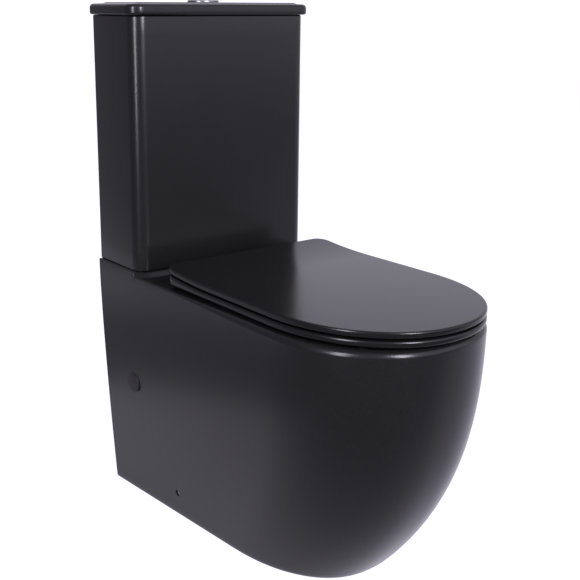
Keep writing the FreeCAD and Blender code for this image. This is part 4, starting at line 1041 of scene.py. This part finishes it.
def scatter_tree():
    """Sets a copy of one object on every point."""
    tree = bpy.data.node_groups.new("set_down", "GeometryNodeTree")
    face = tree.interface
    face.new_socket("Places", in_out="INPUT", socket_type="NodeSocketGeometry")
    face.new_socket("Piece", in_out="INPUT", socket_type="NodeSocketObject")
    face.new_socket("Material", in_out="INPUT", socket_type="NodeSocketMaterial")
    face.new_socket("Geometry", in_out="OUTPUT", socket_type="NodeSocketGeometry")
    given = tree.nodes.new("NodeGroupInput")
    source = tree.nodes.new("GeometryNodeObjectInfo")
    copies = tree.nodes.new("GeometryNodeInstanceOnPoints")
    real = tree.nodes.new("GeometryNodeRealizeInstances")
    paint = tree.nodes.new("GeometryNodeSetMaterial")
    result = tree.nodes.new("NodeGroupOutput")
    for start, end in ((given.outputs["Places"], copies.inputs["Points"]),
                       (given.outputs["Piece"], source.inputs["Object"]),
                       (source.outputs["Geometry"], copies.inputs["Instance"]),
                       (copies.outputs["Instances"], real.inputs["Geometry"]),
                       (real.outputs["Geometry"], paint.inputs["Geometry"]),
                       (given.outputs["Material"], paint.inputs["Material"]),
                       (paint.outputs["Geometry"], result.inputs["Geometry"])):
        tree.links.new(start, end)
    return tree


SET_DOWN = scatter_tree()


def solid_turned(name, profile):
    """A lathed solid on the origin's upright axis, from (radius, height) pairs."""
    return loft(name, [[(*place, z) for place in circle(radius, 40)] for radius, z in profile])


def set_down(name, model, places, material, body):
    """Copies of a model at (x, distance, z) places, as one piece that stands for a CAD node."""
    points = new_piece(name, [at(*place) for place in places], [])
    piece = grown(name, SET_DOWN, {"Piece": model, "Material": material}, points)
    bpy.data.objects.remove(model)
    outward(piece)
    polish(piece, material)
    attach(piece, body)
    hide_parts(name)


def foot_profile(radius, height):
    """Rounded pad with a flat face and a shallow ring around it."""
    return [(radius * 0.45, 0.0), (radius * 0.80, 0.0), (radius * 0.92, height * 0.08),
            (radius, height * 0.25), (radius, height * 0.80), (radius * 0.96, height * 0.94),
            (radius * 0.9, height), (radius * 0.4, height)]


def four(x_rear, d_rear, x_front, d_front, z):
    """Four places, a rear and a front one on each side."""
    ends = ((x_rear, d_rear), (x_front, d_front))
    return [(side * x, distance, z) for side in (-1, 1) for x, distance in ends]


set_down("ring_bumpers", solid_turned("foot", foot_profile(0.006, 0.0047)),
         four(0.145, 0.330, 0.105, 0.590, 0.4143), rubber.material, "ring")
set_down("lid_bumpers", solid_turned("foot", foot_profile(0.006, 0.0027)),
         four(0.145, 0.345, 0.095, 0.600, 0.4288), rubber.material, "lid")
set_down("lid_pads", solid_turned("foot", foot_profile(0.003, 0.0012)),
         four(PAD_X, PAD_REAR, PAD_X, PAD_FRONT, 0.8308), rubber.material, "cistern_cover")


# ---- Steel ----
# Stainless fixings: brackets, screws, pins, plates, studs, nuts, bolts and washers. They are
# drawn or rolled, with fine marks along the metal, and bolts and studs have rolled threads.

steel = Finish("stainless_steel", (0.56, 0.55, 0.53), 0.30, metallic=1.0)
steel.set("Base Color", steel.tint(steel.noise(120.0, 4.0), (0.48, 0.47, 0.45), (0.62, 0.61, 0.60)))
steel.set("Roughness", 0.20 + steel.noise(1600.0, 3.0, stretch=(1.0, 1.0, 0.06)) * 0.22)
steel.bump(steel.noise(1600.0, 2.0, stretch=(1.0, 1.0, 0.06)), 0.00001, 0.4)


def painted(finish, *nodes):
    """Gives CAD nodes whose shape is right a finish of their own."""
    for name in nodes:
        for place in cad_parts[name].material_slots:
            place.material = finish.material


THREAD_RADIUS = 0.0039
THREAD_PITCH = 0.00125
painted(steel, "floor_brackets", "side_screws", "lever_pins", "hinge_pins", "hinge_plates", "hinge_studs",
        "stud_nuts", "cistern_bolts", "cistern_bolt_washers")
bolt_threads = joined([thread("bolt_threads", THREAD_RADIUS, side * BOLT_X, PIPE_LINE,
                              0.373, 0.056, THREAD_PITCH, steel.material) for side in (-1, 1)])
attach(bolt_threads, "root")
stud_threads = joined([thread("stud_threads", THREAD_RADIUS, side * STUD_X, HINGE_LINE,
                              0.3785, 0.034, THREAD_PITCH, steel.material) for side in (-1, 1)])
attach(stud_threads, "root")


# ---- Key springs ----
# Steel wire coils around the rods, between the housing's web and the keys, drawn as they stand
# when the keys are up. The keys travel six millimetres.

WIRE_RADIUS = 0.0005
for name, joint, side in (("full_flush_spring", "full_button_press", 1),
                          ("half_flush_spring", "half_button_press", -1)):
    foot = at(*rod_place(side), WEB_TOP)
    spring = grown(name, THREAD, {"Radius": 0.0036, "Height": 0.0254, "Turns": 6.0, "Crest": WIRE_RADIUS,
                                  "Material": steel.material})
    spring.data.transform(Matrix.Translation(Vector(foot) + Vector((0, 0, WIRE_RADIUS))))
    outward(spring)
    polish(spring, steel.material, 60.0)
    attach(spring, "cistern_cover")
    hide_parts(name)
    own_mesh(spring)


# ---- Hinge posts ----
# Die-cast zinc posts at the rear of the seat, plated black, each screwed down on its plate. A
# bore across each one holds the damper.

black_plating = Finish("black_plated_zinc", (0.030, 0.030, 0.032), 0.30, metallic=0.8)
black_plating.set("Roughness", soft_noise(black_plating, 350.0, 0.24, 0.38, detail=4.0))
black_plating.bump(black_plating.noise(900.0, 2.0), 0.00001, 0.4)
painted(black_plating, "hinge_post_left", "hinge_post_right")


# ---- Seals ----
# Moulded rubber washers and seals, and the thick foam ring between the cistern and the pan.

foam = Finish("foam_rubber", (0.020, 0.020, 0.021), 0.9)
foam.set("Base Color", foam.tint(foam.noise(1500.0, 5.0), (0.010, 0.010, 0.011), (0.034, 0.034, 0.035)))
foam.bump(foam.noise(1800.0, 4.0), 0.0004, 0.8)
painted(foam, "coupling_seal")
painted(rubber, "support_pads", "cistern_bolt_seals", "flush_valve_washer", "fill_valve_washer", "valve_seal",
        "hinge_gaskets", "expanding_nuts")


# ---- Valves ----
# Injection-moulded plastic. The bodies that stand in the water and the buttons' locknut are
# white, the moving parts and the other nuts grey. Threaded tails go through the cistern's floor.

white_plastic = Finish("white_moulded_plastic", (0.78, 0.78, 0.75), 0.42)
white_plastic.set("Base Color", white_plastic.tint(white_plastic.noise(30.0, 4.0),
                                                   (0.72, 0.72, 0.69), (0.82, 0.82, 0.80)))
white_plastic.set("Roughness", soft_noise(white_plastic, 300.0, 0.36, 0.50, detail=3.0))
white_plastic.bump(white_plastic.noise(1200.0, 2.0), 0.00001, 0.4)
grey_plastic = Finish("grey_moulded_plastic", (0.22, 0.23, 0.25), 0.45)
grey_plastic.set("Base Color", grey_plastic.tint(grey_plastic.noise(30.0, 4.0),
                                                 (0.19, 0.20, 0.22), (0.25, 0.26, 0.28)))
grey_plastic.set("Roughness", soft_noise(grey_plastic, 300.0, 0.40, 0.54, detail=3.0))
grey_plastic.bump(grey_plastic.noise(1200.0, 2.0), 0.00001, 0.4)

painted(white_plastic, "flush_valve_base", "flush_cage", "overflow_tube", "fill_valve_shank",
        "fill_valve_head", "button_locknut")
painted(grey_plastic, "cistern_wing_nuts", "flush_valve_backnut", "fill_valve_backnut", "down_tube",
        "hinge_dampers", "full_flush_rod", "half_flush_rod", "stem_link", "seal_retainer", "stem_float",
        "full_flush_lever", "half_flush_lever", "fill_float", "float_rod", "float_lever")
flush_thread = thread("flush_tail_thread", 0.0297, 0.0, PIPE_LINE, 0.388, 0.0460, 0.0030,
                      white_plastic.material)
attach(flush_thread, "root")
fill_thread = thread("fill_tail_thread", 0.0104, SUPPLY_X, PIPE_LINE, 0.381, 0.0250, 0.0018,
                     white_plastic.material)
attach(fill_thread, "root")
